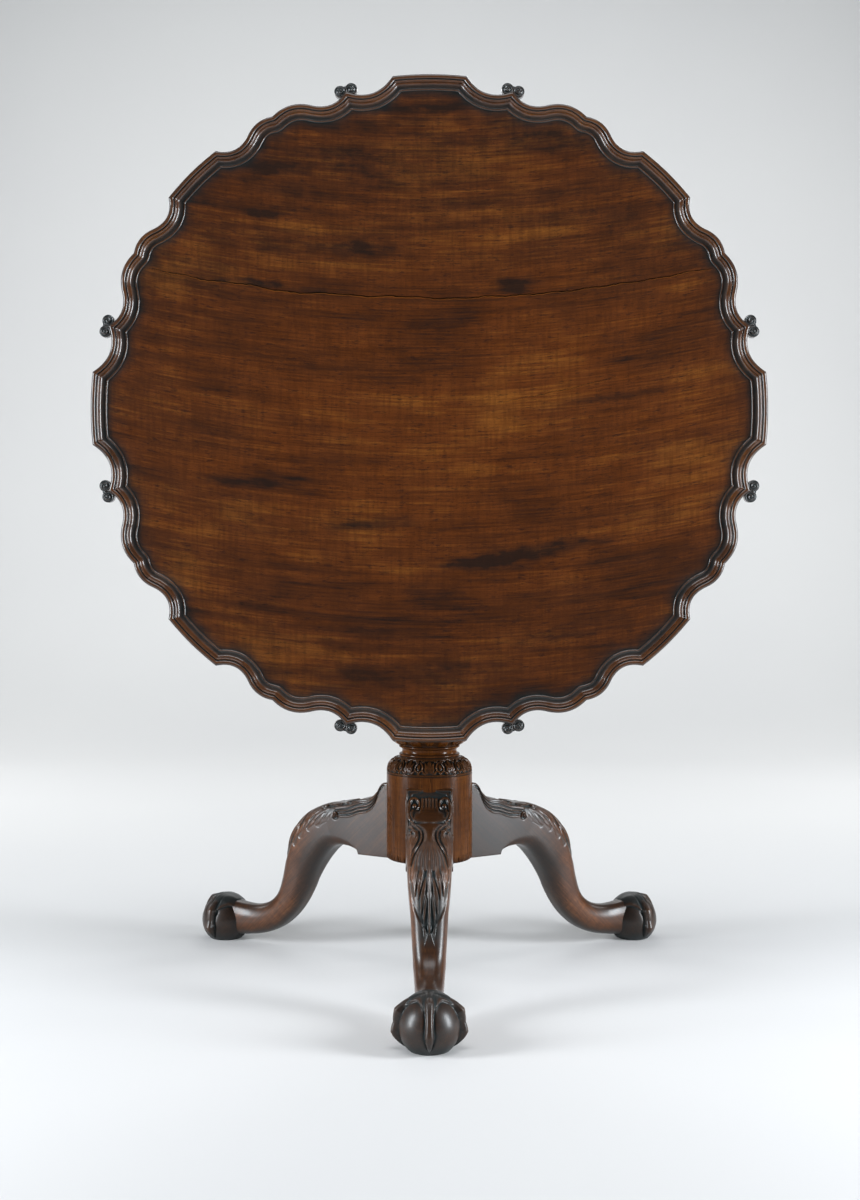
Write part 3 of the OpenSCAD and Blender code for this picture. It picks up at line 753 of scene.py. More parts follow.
def carve_panel(r):
    """Corner scrolls of the panel, its reeds, and the cushion that they run down into."""
    r.ridge([(36, 17), (33, 14.4), (27, 13.8), (21.5, 16), (18.6, 20.5), (21, 25.4), (29, 28),
             (42, 28.8), (58, 28.6), (72, 26.4), (82, 22)],
            [1.0, 1.5, 1.9, 2.4, 2.8, 2.8, 2.5, 2.1, 2.0, 1.8, 1.2], 1.1)
    r.ridge([(30, 20.4), (31, 20.4)], [3.2, 3.2], 1.2)
    r.ridge([(38, 23), (50, 25), (64, 23.6), (73, 20)], [1.2, 1.7, 1.6, 1.0], 0.3)
    for out in (0, 4.9, 9.8):
        r.ridge([(20, out * 0.95), (32, out), (48, out * 1.2)], [2.0, 2.3, 1.8], 1.0)
    r.ridge([(44, 0), (58, 0), (66, 0)], [13, 20, 21], 0.8)
    r.ridge([(50, 8), (62, 14), (67, 17)], [8, 7, 5], 0.5)
    r.groove([(73, 27), (78, 18), (83, 8), (84, 0), (84, -1)], [2.0, 3.2, 4.0, 4.2, 4.2], 2.8)


def carve_body(r):
    """Waisted body that opens like a bell, its end fluted, with a strand along each side."""
    s, t = r.s, r.t
    q = np.clip(t / np.interp(s, WAIST[:, 0], WAIST[:, 1]), 0, 2)
    swell = 0.7 + 1.5 * smoothstep(96, 126, s) - 1.4 * smoothstep(148, 192, s)
    dome = -GROUND + (swell + GROUND) * np.sqrt(np.clip(1 - q ** 2.6, 0, 1))
    flutes = 0.5 + 0.5 * np.cos(np.clip(q, 0, 1) * FLUTES * 2 * math.pi)
    dome -= 1.2 * (1 - flutes) * smoothstep(140, 172, s) * (1 - smoothstep(0.8, 1, q))
    inside = (q < 1) & (s > 89) & (s < 194)
    r.h = np.where(inside, np.maximum(r.h, dome), r.h)
    r.ridge([(90, 23), (101, 17), (113, 12.2), (126, 10.4), (140, 10.8), (152, 14.2), (162, 19.8),
             (173, 25.4), (184, 28.6)], [2.0, 1.9, 1.6, 1.4, 1.4, 1.6, 1.8, 1.6, 1.0], 0.8, -2.2)


def carve_side_leaves(r):
    """Leaf at each side of the waist, springing from a volute, and the strand outside it."""
    r.lobe([(92, 28), (102, 24.6), (112, 20)], [3.2, 3.0, 1.4], 0.9)
    r.scroll((119, 21), 4.4, 1.2, 1.2)
    r.lobe([(113, 15.4), (127, 18), (144, 23), (160, 29)], [1.2, 2.5, 2.7, 0.9], 1.1)
    r.lobe([(119, 25.5), (132, 27), (148, 30.4), (162, 34.5)], [1.6, 3.0, 2.8, 0.8], 1.0)
    r.lobe([(112, 28.5), (126, 32), (140, 36), (152, 40)], [1.6, 3.0, 2.6, 0.8], 0.8)
    r.lobe([(124, 14.6), (138, 16.4), (152, 21), (167, 28.4)], [0.9, 1.7, 1.9, 0.8], 0.5)
    r.ridge([(10, 40.5), (24, 45.5), (40, 47.3), (72, 47.3), (90, 46), (98, 43.4)],
            [0.8, 1.1, 1.2, 1.2, 1.3, 1.4], 0.5, -0.8)
    r.scroll((102, 42.3), 4.4, 2.4, 1.2)
    for root, bend, tip in (((106, 39), (114, 46), (125, 48.6)), ((112, 37), (123, 44), (138, 48)),
                            ((122, 34.5), (134, 42), (151, 46)), ((134, 33), (147, 39), (164, 43)),
                            ((148, 31.5), (161, 36), (178, 39.6)), ((164, 30), (176, 33.6), (193, 36)),
                            ((178, 28), (190, 31), (206, 33))):
        r.lobe([root, bend, tip], [1.8, 3.3, 0.7], 0.35, -1.1)


def carve_shin(r):
    """Leaves falling down the shin in tiers, and the last tendrils."""
    r.lobe([(178, 21), (195, 24), (214, 24.4)], [2.0, 3.6, 0.8], 1.1)
    r.lobe([(180, 14.5), (200, 18.4), (223, 20)], [2.2, 4.0, 0.8], 1.4)
    r.lobe([(183, 8), (205, 12), (229, 15)], [2.2, 3.8, 0.8], 1.4)
    r.lobe([(204, 4.6), (226, 8.6), (247, 10.8)], [1.6, 3.2, 0.7], 1.2)
    r.lobe([(222, 3.2), (240, 5.8), (259, 7)], [1.2, 2.3, 0.6], 1.0)
    r.ridge([(176, 0), (198, 0), (224, 0), (250, 0), (272, 0)], [3.2, 3.0, 2.4, 2.0, 0.6], 1.3)
    r.groove([(180, 1.2), (210, 1.0), (246, 0.6)], [0.7, 0.6, 0.4], 0.8)
    r.groove([(263, 3.0), (275, 3.8), (288, 7.6)], [1.0, 1.0, 0.6], 1.3)
    r.groove([(256, 7.6), (267, 8.8), (279, 7.0)], [0.9, 0.9, 0.5], 1.0)


def leg_carving():
    """Knee carving of one leg, with painted shade and some dirt in its hollows and wear with painted
    highlights on its crests.
    """
    r = Relief(CARVED_LENGTH, CARVED_WIDTH, 0.45)
    s, t = r.s, r.t
    band = carve_ground(r)
    for carve in (carve_panel, carve_body, carve_side_leaves, carve_shin):
        carve(r)
    r.h *= 1 - 0.7 * smoothstep(36, 47, t) * smoothstep(104, 114, s)
    soft = r.blur(0.45)
    # hollow: painted shade with some dirt, darker in recesses and deep ground; crest: wear with
    # painted highlights on raised parts
    hollow = np.clip((r.blur(4.0) - soft) / 1.1, 0, 1) * 0.75 + np.clip(-soft / 2.2, 0, 1) * 0.6
    crest = np.clip((soft - r.blur(3.0)) / 1.2, 0, 1)
    hollow = np.where(np.abs(r.h) + np.abs(soft) < 0.02, 0, np.clip(hollow, 0, 1))
    # painted shade: a dark patch down the middle of the shin's front under the carving
    shin_shade = np.exp(-(t / 14) ** 4) * smoothstep(205, 245, s)
    shin_shade *= 1 - smoothstep(270, CARVED_LENGTH, s)
    hollow = np.maximum(hollow, 0.92 * shin_shade)
    # painted shade in the sunk band along the top's edge
    hollow = np.where(band & (r.h < -0.9), np.maximum(hollow, 0.8), hollow)
    r.h = soft
    return r, hollow, crest


# ---------------------------------------------------------------- legs

# Upper and under line of the leg's side: distance from the pillar's axis, height
LEG_UPPER = chain((54.5, 262), (
    ((70, 262), (64, 237), (92, 235.3)), ((103, 234.5), (112, 228.5), (125, 227)),
    ((160, 223), (188, 215), (206, 200)),
    ((224, 185), (236, 165), (240, 137)), ((243, 120), (247, 102), (253, 87)),
    ((259, 73), (278, 58), (305, 57)), ((318, 57), (328, 58), (338, 60))), 40)
LEG_UNDER = np.vstack([[[54.5, 156]], chain((100, 156), (
    ((101, 160), (102, 163), (105, 163.3)), ((116, 165.5), (128, 166.5), (138, 164.5)),
    ((152, 162), (162, 154), (170, 143.5)), ((182, 129), (191, 112), (199, 93)),
    ((209, 72), (222, 54), (237, 41)), ((253, 26), (275, 16), (305, 12)),
    ((318, 10), (328, 9), (338, 9))), 40)])
# Places on the upper line, each with the place on the under line that faces it
LEG_PAIRS = (((54.5, 262), (54.5, 156)), ((125, 227), (116, 165)), ((206, 200), (165, 146)),
             ((240, 137), (196, 100)), ((253, 87), (221, 58)), ((305, 57), (305, 12)),
             ((338, 60), (338, 9)))
# Half width of the leg, by distance from the pillar's axis
LEG_HALF = chain((54.5, 32.5), (
    ((100, 32.5), (140, 31), (165, 30)), ((200, 29.5), (225, 28.5), (236, 25)),
    ((244, 22.5), (258, 18), (305, 17)), ((318, 17), (328, 18), (338, 19))), 20)
# Rounding of the section's corners: distance along the leg, then across and down
UPPER_CORNER = np.array([(0, 4, 3), (20, 6, 7), (100, 9, 13), (170, 22, 24), (230, 24, 22),
                         (300, 17, 21)])
UNDER_CORNER = np.array([(0, 1.2, 1.2), (66, 1.2, 1.2), (82, 8, 8), (140, 18, 20), (240, 22, 22),
                         (300, 15, 21)])
# Distance along the leg, and how far out from the top's middle the grid stays fine
FINE_REACH = np.array([(0, 52), (60, 54), (120, 54), (180, 46), (240, 30), (300, 24)])
INSIDE_HUB = (-8.5, -4.0)       # stations of the leg's end that is let into the hub
STEP_END = 92                   # distance along the leg past the step under it
FOOT_R, FOOT_Z = 360, 28        # middle of the ball
BALL_R = 37


def read_table(table, key):
    """Row of a table's other columns at a value of its first one."""
    return [np.interp(key, table[:, 0], column) for column in table.T[1:]]


def place_on(line, point):
    """Distance along a line to its place nearest a point."""
    return lengths(line)[np.argmin(np.linalg.norm(line - point, axis=1))]


def leg_section(half, height, corner, under, fine, out_to):
    """Right half of a section from its top to its bottom, with the distance round it."""
    (cx, cy), (bx, by) = corner, under
    turn = np.linspace(0, math.pi / 2, 40)
    bend = 2 / 2.35
    sin, cos = np.sin(turn) ** bend, np.cos(turn) ** bend
    x = np.concatenate([[0], half - cx + cx * sin, half - bx + bx * cos, [0]])
    y = np.concatenate([[height / 2], height / 2 - cy + cy * cos, -height / 2 + by - by * sin,
                        [-height / 2]])
    line = np.stack([x, y], axis=1)
    t = lengths(line)
    start, stop = max(t[41], out_to + 1), t[80]
    at = np.concatenate([fine * out_to, np.linspace(out_to, start, 16, endpoint=False),
                         np.linspace(start, stop, 9, endpoint=False), np.linspace(stop, t[-1], 6)])
    return np.interp(at, t, x), np.interp(at, t, y), at


FINE_SHARES = np.linspace(0, 1, 96, endpoint=False)


def eased(values, span, step):
    """Running mean over span values to each side, the line going on by a step past its end."""
    after = values[-1] + np.arange(1, span + 1) * step
    padded = np.concatenate([np.full(span, values[0]), values, after])
    return np.convolve(padded, np.ones(2 * span + 1) / (2 * span + 1), "valid")


def leg_grid():
    """Uncarved leg as a grid (station, place round, xyz), with s and t of each point."""
    su, sl = lengths(LEG_UPPER), lengths(LEG_UNDER)
    s_of = [place_on(LEG_UPPER, u) for u, _ in LEG_PAIRS]
    l_of = [place_on(LEG_UNDER, l) for _, l in LEG_PAIRS]
    stations = np.concatenate([INSIDE_HUB, np.arange(0, CARVED_LENGTH, 0.62),
                               np.arange(CARVED_LENGTH + 1.5, su[-1], 2.2)])
    reach = np.interp(stations, s_of, l_of)
    reach = np.where(stations < STEP_END, reach, eased(reach, 12, 2.4))
    rows, around = [], []
    for s, l in zip(stations, reach):
        inside = (min(s, 0), 0)
        s_in = max(s, 0.0)
        upper = np.array([np.interp(s_in, su, LEG_UPPER[:, k]) for k in (0, 1)]) + inside
        under = np.array([np.interp(l, sl, LEG_UNDER[:, k]) for k in (0, 1)]) + inside
        middle, up = (upper + under) / 2, upper - under
        height = np.linalg.norm(up)
        up /= height
        half = float(np.interp(upper[0], LEG_HALF[:, 0], LEG_HALF[:, 1]))
        (cx, cy), (bx, by) = read_table(UPPER_CORNER, s_in), read_table(UNDER_CORNER, s_in)
        cx, bx = min(cx, half), min(bx, half)
        cy, by = min(cy, height * 0.49), min(by, height * 0.49)
        out_to, = read_table(FINE_REACH, s_in)
        x, y, t = leg_section(half, height, (cx, cy), (bx, by), FINE_SHARES, out_to)
        ring_y = np.concatenate([y, y[-2:0:-1]])
        rows.append(np.stack([middle[0] + up[0] * ring_y, np.concatenate([x, -x[-2:0:-1]]),
                              middle[1] + up[1] * ring_y], axis=1))
        around.append(np.concatenate([t, -t[-2:0:-1]]))
    around = np.array(around)
    return np.array(rows), stations[:, None] * np.ones(around.shape), around


# Claw ridges round the ball, seen from its middle: bearing from the leg's own direction, then
# elevation, distance from the middle of the ball, and half width at places along the claw
CLAWS = (
    (0, ((115, 36, 5.0), (92, 38.0, 5.0), (66, 40.6, 5.2), (52, 43.6, 6.0), (44, 43.0, 5.4),
         (26, 42.2, 4.7), (8, 43.4, 5.0), (-4, 44.8, 5.8), (-11, 43.8, 5.3), (-24, 41.6, 3.6),
         (-36, 38.0, 1.0))),
    (88, ((115, 36, 5.0), (80, 38.8, 5.2), (58, 39.8, 5.4), (36, 43.6, 5.9), (26, 46.2, 6.8),
          (17, 44.6, 5.8), (6, 43.2, 5.4), (-8, 46.4, 6.2), (-16, 44.6, 5.4), (-28, 41.0, 3.8),
          (-42, 37.4, 1.2))),
    (180, ((60, 36, 5.0), (30, 38, 5.4), (10, 41.6, 6.0), (-2, 43.6, 6.6), (-12, 42.2, 5.6),
           (-26, 40.6, 4.0), (-42, 37.2, 1.2))))


def claw_ridge(way, bearing, marks):
    """How far each direction stands out for one claw, and how deep its side grooves are."""
    turn = math.radians(bearing)
    ahead = way[..., 0] * math.cos(turn) + way[..., 1] * math.sin(turn)
    aside = -way[..., 0] * math.sin(turn) + way[..., 1] * math.cos(turn)
    rise = np.degrees(np.arctan2(way[..., 2], ahead))
    rise = np.where(rise < -120, rise + 360, rise)
    keys = np.array(marks, float)[::-1]
    radius = np.interp(rise, keys[:, 0], keys[:, 1], left=0, right=0)
    half = np.interp(rise, keys[:, 0], keys[:, 2])
    q = np.abs(aside) * 42 / half
    body = BALL_R + (radius - BALL_R) * np.clip(1 - np.clip(q, 0, 1) ** 3.2, 0, 1) ** 0.6
    on = (radius > 0) & (q < 1)
    ditch = np.exp(-((q - 1.30) / 0.34) ** 2) * (radius > 0) * np.clip((radius - 38) / 3, 0, 1)
    return np.where(on, body, 0), ditch


def webs(up, bearing):
    """Webs between the claws, hanging to an arched edge: thickness, painted shade with some dirt under
    the edge and over the web, and wear with a painted highlight along the edge, by direction.
    """
    angle = np.degrees(np.abs(np.where(bearing > math.pi, bearing - 2 * math.pi, bearing)))
    front = angle < 88
    span = np.where(front, angle / 88, (angle - 88) / 92)
    arch = np.where(front, 14, 8) + np.where(front, 44, 34) * np.sin(math.pi * span) ** 0.6
    over = np.degrees(up) - arch
    out = smoothstep(-1.2, 1.6, over) * (2.6 + 1.0 * smoothstep(6, 30, over))
    hollow = np.maximum(0.9 * np.exp(-((over + 2.6) / 3.2) ** 2), 0.8 * smoothstep(4, 9, over))
    return out, hollow, 0.5 * np.exp(-((over - 2.5) / 2.0) ** 2)


def foot_points():
    """Ball and claws: points, painted shade with some dirt in their hollows, and wear with painted
    highlights on their crests.
    """
    rise = np.radians(np.concatenate([np.linspace(89.5, 72, 12, endpoint=False),
                                      np.linspace(72, -52, 118)]))
    up, bearing = np.meshgrid(rise, np.linspace(0, 2 * math.pi, 288, endpoint=False), indexing="ij")
    way = np.stack([np.cos(up) * np.cos(bearing), np.cos(up) * np.sin(bearing), np.sin(up)], axis=-1)
    out, hollow, crest = webs(up, bearing)
    out = out + BALL_R
    for claw_bearing, marks in CLAWS:
        for side in ((1, -1) if 0 < claw_bearing < 180 else (1,)):
            ridge, ditch = claw_ridge(way, claw_bearing * side, marks)
            on = ridge > out
            # claws clear the painted shade and get wear with a painted highlight on their tops;
            # painted shade goes in the grooves beside them
            hollow = np.where(on, 0, hollow)
            crest = np.where(on, np.clip((ridge - 43) / 4, 0, 0.8), crest)
            out = np.maximum(out, ridge) - 1.2 * ditch * (ridge < out)
            hollow = np.maximum(hollow, np.clip(ditch * 1.3, 0, 1) * (ridge < out + 0.01))
    p = way * out[..., None] + (FOOT_R, 0, FOOT_Z)
    p[..., 2] = np.maximum(p[..., 2], 0)
    # painted shade: the ball darker towards the floor, and darker all over
    low = 1 - smoothstep(2, 26, p[..., 2])
    hollow = np.maximum(np.maximum(hollow, 0.9 * low), 0.36)
    return p, np.clip(hollow, 0, 1), crest * (1 - low)


def build_legs(materials):
    relief, hollow_map, crest_map = leg_carving()
    p, s, t = leg_grid()
    height = relief.read(relief.h, s, t) * smoothstep(-0.5, 1.5, s)
    facing = grid_normals(p)
    p = p + facing * height[..., None]
    # painted shade under the legs: faces turned down and the lower sides of the section
    below = np.maximum(smoothstep(0.05, 0.8, -facing[..., 2]), 0.8 * smoothstep(54, 84, np.abs(t)))
    # warm: painted light, a paler band over the leg's upper corners from the knee on down
    warm = smoothstep(12, 28, np.abs(t)) * (1 - smoothstep(38, 64, np.abs(t)))
    warm *= smoothstep(105, 190, s)
    hollow = np.maximum(relief.read(hollow_map, s, t), 0.6 * below * smoothstep(105, 165, s))
    crest = relief.read(crest_map, s, t)
    rows, cols = p.shape[:2]
    foot, foot_hollow, foot_crest = foot_points()
    f_rows, f_cols = foot.shape[:2]
    verts = np.vstack([p.reshape(-1, 3), foot.reshape(-1, 3), [[FOOT_R, 0, FOOT_Z + BALL_R]],
                       [[FOOT_R, 0, 0]], [p[0].mean(0)], [p[-1].mean(0)]])
    first = rows * cols
    top, bottom = first + f_rows * f_cols, first + f_rows * f_cols + 1
    faces = grid_faces(rows, cols, flip=True) + grid_faces(f_rows, f_cols, first=first, flip=True)
    faces += fan(top, first, f_cols) + fan(bottom, top - f_cols, f_cols, flip=True)
    faces += fan(bottom + 1, 0, cols) + fan(bottom + 2, first - cols, cols, flip=True)
    values = {"warm": np.concatenate([warm.ravel(), np.zeros(foot_hollow.size + 4)]),
              "hollow": np.concatenate([hollow.ravel(), foot_hollow.ravel(), np.zeros(4)]),
              "crest": np.concatenate([crest.ravel(), foot_crest.ravel(), np.zeros(4)])}
    for (node, bearing), material in zip(LEG_DIRS.items(), materials):
        turn = math.radians(bearing)
        away, aside, up = verts.T * MM
        placed = np.stack([away * math.cos(turn) - aside * math.sin(turn),
                           away * math.sin(turn) + aside * math.cos(turn) + AXIS_Y, up], axis=1)
        obj = make("carved_" + node, placed, faces, material, sharp=42, values=values)
        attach(obj, "base")
        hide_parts(node)


# ---------------------------------------------------------------- pillar

# Turned profile of the pillar: radius and height, with the points per curve in chain()
PILLAR_LINE = np.vstack([
    [[0, 156]], [[54, 156]], chain((56.5, 156.2), (((58.6, 156.6), (60.0, 157.6), (60.4, 159.5)),), 6),
    [[60.5, 166], [60.5, 276.2], [60.5, 277.0], [59.9, 277.6], [59.9, 278.6], [60.4, 279.2]],
    chain((60.5, 280), (((60.5, 291), (53, 299), (42.6, 300.4)),), 44),
    [[41.8, 301.4]], chain((42.0, 302.0), (((43.2, 302.4), (43.2, 304.4), (42.0, 304.8)),), 6),
    chain((40.2, 305.2), (((38.0, 306.5), (38.0, 311.5), (40.2, 313.0)),), 10),
    chain((41.8, 313.3), (((43.4, 313.8), (43.4, 315.6), (42.0, 316.1)),), 6),
    chain((42.6, 316.8), (((54, 319), (60, 334), (60, 352)), ((60, 374), (50, 388), (37, 392))), 60),
    chain((38.5, 392.6), (((42.5, 393.5), (42.5, 403), (36.5, 404)),), 12),
    chain((34, 404.6), (((30, 410), (31, 416), (31, 424)), ((31, 460), (27, 505), (24, 536))), 24),
    chain((25.5, 536.6), (((29.4, 538), (29.4, 547), (24.4, 549)),), 12),
    chain((24, 549.6), (((25, 558), (31, 562), (35.6, 564)),), 12),
    [[36, 564.6], [36, 571.4], [35.4, 572], [22.9, 572], [22.5, 572.4], [22.5, 634.9],
     [21.9, 635.6], [12.4, 635.6], [12, 636], [12, 687], [11, 688], [0, 688]]])


# Creases of the turning: height, and how dark the painted shade with some dirt in each is
SEAMS = ((277.6, 0.9), (301.4, 0.9), (304.9, 0.6), (313.1, 0.6), (316.4, 0.9), (392.3, 0.9),
         (404.3, 0.8), (536.3, 0.8), (549.3, 0.8), (564.3, 0.7))
PILLAR_COLS = 480


def dome_carving():
    """One repeat of the leaf band on the pillar's shoulder, mirrored about its middle."""
    r = Relief(33, 15.5, 0.3)
    r.h = np.where((r.s > 1.4) & (r.s < 29), -1.5, 0.0)
    r.ridge([(1.2, 15), (1.2, 8), (1.2, -1)], [0.7, 0.7, 0.7], 0.3, -0.6)
    r.lobe([(3.5, 0), (10, 0), (20, 0), (27, 0)], [2.6, 3.0, 3.0, 0.8], 0.7)
    r.lobe([(3, 1.5), (8, 4.6), (14, 6.2)], [1.5, 2.0, 0.7], 0.6)
    r.lobe([(8, 2.5), (14, 4.2), (21, 6.5)], [1.3, 1.9, 0.7], 0.7)
    r.lobe([(2.6, 3), (4.6, 7), (9, 9.6)], [1.2, 1.8, 0.7], 0.5)
    r.ridge([(3, 14.6), (6.4, 13.4), (8, 10.6), (13, 9.6), (18, 11), (22, 14)],
            [1.0, 1.2, 1.1, 1.1, 1.0, 0.8], 0.6)
    r.lobe([(9, 15.5), (14, 14.5), (19, 15.5)], [1.6, 2.0, 1.0], 0.5)
    r.scroll((24.5, 10), 2.3, 0.5, 0.4)
    r.ridge([(28, 15.5), (26.5, 8), (28, -1)], [0.8, 0.9, 0.8], 0.2)
    return r


def ball_carving():
    """One repeat of the leaves that clasp the swelling under the cage, mirrored likewise."""
    r = Relief(90, 24, 0.5)
    r.sink([(4, 0), (40, 0), (66, 0)], [17, 20, 6], 1.5)
    r.lobe([(4, 0), (24, 0), (44, 0), (64, 0)], [3.4, 5.0, 4.4, 0.8], 0.9)
    for a, out in ((4, 7), (14, 10.5), (26, 13), (38, 12.5), (48, 9.5)):
        r.lobe([(a, 1.5), (a + 8, out * 0.62), (a + 14, out)], [1.8, 3.0, 0.8], 0.8)
    return r


def pillar_relief(line, angle):
    """How far the pillar's surface stands out from its profile, its painted shade with some dirt, and
    its wear with painted highlights.
    """
    cols = len(angle)
    height = np.zeros((len(line), cols))
    hollow = np.zeros_like(height)
    crest = np.zeros_like(height)
    for relief, low, high, repeats, mean_r in ((dome_carving(), 278.5, 300.3, 12, 57),
                                               (ball_carving(), 317, 391.5, 8, 58)):
        soft = relief.blur(0.3)
        rows = np.where((line[:, 1] >= low) & (line[:, 1] <= high) & (line[:, 0] > 36))[0]
        s = lengths(line[rows])[:, None] * np.ones(cols)
        turn = (angle * repeats / (2 * math.pi) + 0.5) % 1 - 0.5
        t = turn * 2 * math.pi / repeats * mean_r * np.ones((len(rows), 1))
        height[rows] = relief.read(soft, s, t)
        # painted shade with some dirt in the carving's recesses; the crests get wear with painted
        # highlights
        dark = np.clip((relief.blur(2.4) - soft) / 0.9, 0, 1) * 0.7 + np.clip(-soft / 2, 0, 1) * 0.6
        hollow[rows] = relief.read(np.clip(dark, 0, 1), s, t)
        crest[rows] = relief.read(np.clip((soft - relief.blur(2)) / 1.0, 0, 1), s, t)
    # the carved shoulder darker all over
    hollow[(line[:, 1] > 278.6) & (line[:, 1] < 300.5)] += 0.42
    ragged = np.maximum(0, waves(angle * 9, angle * 0, 21, 12, 0.6, 3.2)) * 2.4
    low_edge = (line[:, 1] < 161) & (line[:, 0] > 53)
    height[low_edge] -= ragged
    # painted shade on the hub's lower edge and underside
    hollow[line[:, 1] < 163] = 0.35
    for z, deep in SEAMS:
        hollow = np.maximum(hollow, deep * np.exp(-((line[:, 1:] - z) / 0.8) ** 2))
    return height, np.clip(hollow, 0, 1), crest


def build_pillar(material):
    line, cols = PILLAR_LINE, PILLAR_COLS
    angle = np.arange(cols) / cols * 2 * math.pi
    tangent = np.gradient(line, axis=0)
    tangent /= np.maximum(np.linalg.norm(tangent, axis=1, keepdims=True), 1e-9)
    height, hollow, crest = pillar_relief(line, angle)
    radius = line[:, :1] + tangent[:, 1:] * height
    z = line[:, 1:] - tangent[:, :1] * height
    verts = np.stack([radius * np.cos(angle), radius * np.sin(angle) + AXIS_Y / MM,
                      z * np.ones(cols)], axis=-1)
    obj = make("turned_pillar", verts.reshape(-1, 3) * MM, grid_faces(len(line), cols, flip=True),
               material, values={"hollow": hollow.ravel(), "crest": crest.ravel()})
    weld(obj, 0.00001, 38)
    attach(obj, "base")
    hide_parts("pillar")


# ---------------------------------------------------------------- ears

# Discs of an ear: bearing from the middle of a side, distance out, radius, height of the face
EARS = ((13.6, 443.3, 8.0, 20.6), (15.5, 443.3, 8.0, 20.6), (14.55, 439.4, 9.8, 19.2))
EAR_BACK = 5.6          # height of their backs over the underside


def ear_volute(radius, face_h):
    """Little carved volute as rings of points from its middle out: across, up, over the back."""
    rings, cols = 26, 64
    share = np.linspace(0.02, 1, rings)[:, None]
    turn = np.arange(cols) / cols * 2 * math.pi
    r = share * radius
    coil = 0.5 + 0.5 * np.cos(2 * math.pi * (share * 2.0) - turn)
    face = face_h - 1.6 * share ** 2 - 1.3 * (1 - coil) * smoothstep(0.1, 0.3, share)
    face = face * (share < 0.93) + (face - 1.2) * (share >= 0.93)
    h = np.vstack([face, np.outer((face_h - 4, 8.0, EAR_BACK), np.ones(cols))])
    r = np.vstack([r * np.ones(cols), np.outer((radius, radius, radius - 1.5), np.ones(cols))])
    # dark: the ears darker all over, with painted shade deeper in the spiral's groove
    dark = 0.72 + 0.28 * (1 - np.vstack([coil * np.ones((rings, cols)), np.ones((3, cols))]))
    return r * np.cos(turn), r * np.sin(turn), h, np.clip(dark, 0, 1)


def build_ears(material):
    verts, faces, hollow, first = [], [], [], 0
    for quarter, side in ((q, side) for q in range(4) for side in (1, -1)):
        for which, (bearing, away, radius, face_h) in enumerate(EARS):
            x, v, h, dark = ear_volute(radius, face_h)
            rows, cols = x.shape
            a = math.radians(90 * quarter + side * bearing)
            hand = side if which else -side
            sin, cos = math.sin(a), math.cos(a)
            cx, cv = away * sin, away * cos
            px, pv = x * hand * cos + v * sin, v * cos - x * hand * sin
            verts += [on_top(px + cx, pv + cv, h).reshape(-1, 3),
                      on_top([cx, cx], [cv, cv], [face_h, EAR_BACK])]
            hollow += [dark.ravel(), [0.3, 0.5]]
            tip = first + rows * cols
            faces += grid_faces(rows, cols, first=first, flip=hand > 0)
            faces += fan(tip, first, cols) + fan(tip + 1, tip - cols, cols, flip=True)
            first = tip + 2
    obj = make("ear_volutes", np.vstack(verts), faces, material,
               values={"hollow": np.concatenate(hollow)})
    weld(obj, 0.000005, CREASE)
    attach(obj, "top")


# ---------------------------------------------------------------- studio

COOL_WHITE = (0.93, 0.96, 1.0)
WHITE = (1, 1, 1)
LAMPS = (  # name, place, aim, width and height, power, colour
    ("left_box", (-2.0, -0.75, 0.75), (0, -0.1, 0.6), (0.5, 1.4), 62, COOL_WHITE),
    ("right_box", (2.0, -0.70, 0.75), (0, -0.1, 0.6), (0.5, 1.4), 68, COOL_WHITE),
    ("over", (0, -0.7, 2.4), (0, -0.15, 0), (1.6, 0.8), 19, (0.98, 0.98, 1.0)),
    ("back", (0, 2.5, 3.3), (0, 4.1, 1.2), (3.8, 0.5), 10, WHITE),
    ("wash", (2.15, 1.2, 1.5), (0.3, 4.15, 1.1), (0.5, 1.2), 43, WHITE),
    ("wash", (-2.15, 1.2, 1.5), (-0.3, 4.15, 1.1), (0.5, 1.2), 43, WHITE),
    ("behind", (0, 2.3, 2.3), (0, 0.3, 0.6), (1.8, 0.8), 14, WHITE))
SKY, SKY_STRENGTH = (0.72, 0.90, 1.0, 1), 0.12
FLOOR_DROP = 0.002      # how far the room's floor lies under the paper


def soft_box(name, place, aim, size, power, colour):
    """Rectangular lamp at a place, facing its aim, unseen by the camera."""
    light = bpy.data.lights.new(name, "AREA")
    light.shape = "RECTANGLE"
    light.size, light.size_y = size
    light.energy = power
    light.color = colour
    obj = bpy.data.objects.new(name, light)
    obj.location = place
    obj.rotation_euler = (Vector(aim) - Vector(place)).to_track_quat("-Z", "Y").to_euler()
    obj.visible_camera = False
    bpy.context.scene.collection.objects.link(obj)


def matt(name, scale, detail, low, high):
    """Dull paper or floor that drifts between two greys."""
    n = Nodes(name)
    tone = n.noise(n.place(), scale, detail, 0.5)
    return n.finish(n.ramp(tone, ((0.3, low), (0.7, high))), 0.9, Specular_IOR_Level=0.1)


def paper_sweep():
    """Sheet of paper that lies under the table, bends up behind it and widens as it goes."""
    profile = np.vstack([[[-0.85, 0.0], [0.9, 0.0], [1.9, 0.0]],
                         bezier((2.3, 0), (3.5, 0), (4.1, 0.35), (4.15, 2.0), 32),
                         [[4.25, 4.4]]])
    across = np.linspace(-1, 1, 12)
    half = np.interp(profile[:, 0], (0.9, 4.1), (0.96, 2.2))
    verts = [(x * w, y, z) for (y, z), w in zip(profile, half) for x in across]
    return make("paper_sweep", verts, grid_faces(len(profile), len(across), closed=False),
                matt("paper_sweep", 0.8, 2, (0.70, 0.70, 0.70), (0.73, 0.73, 0.725)))


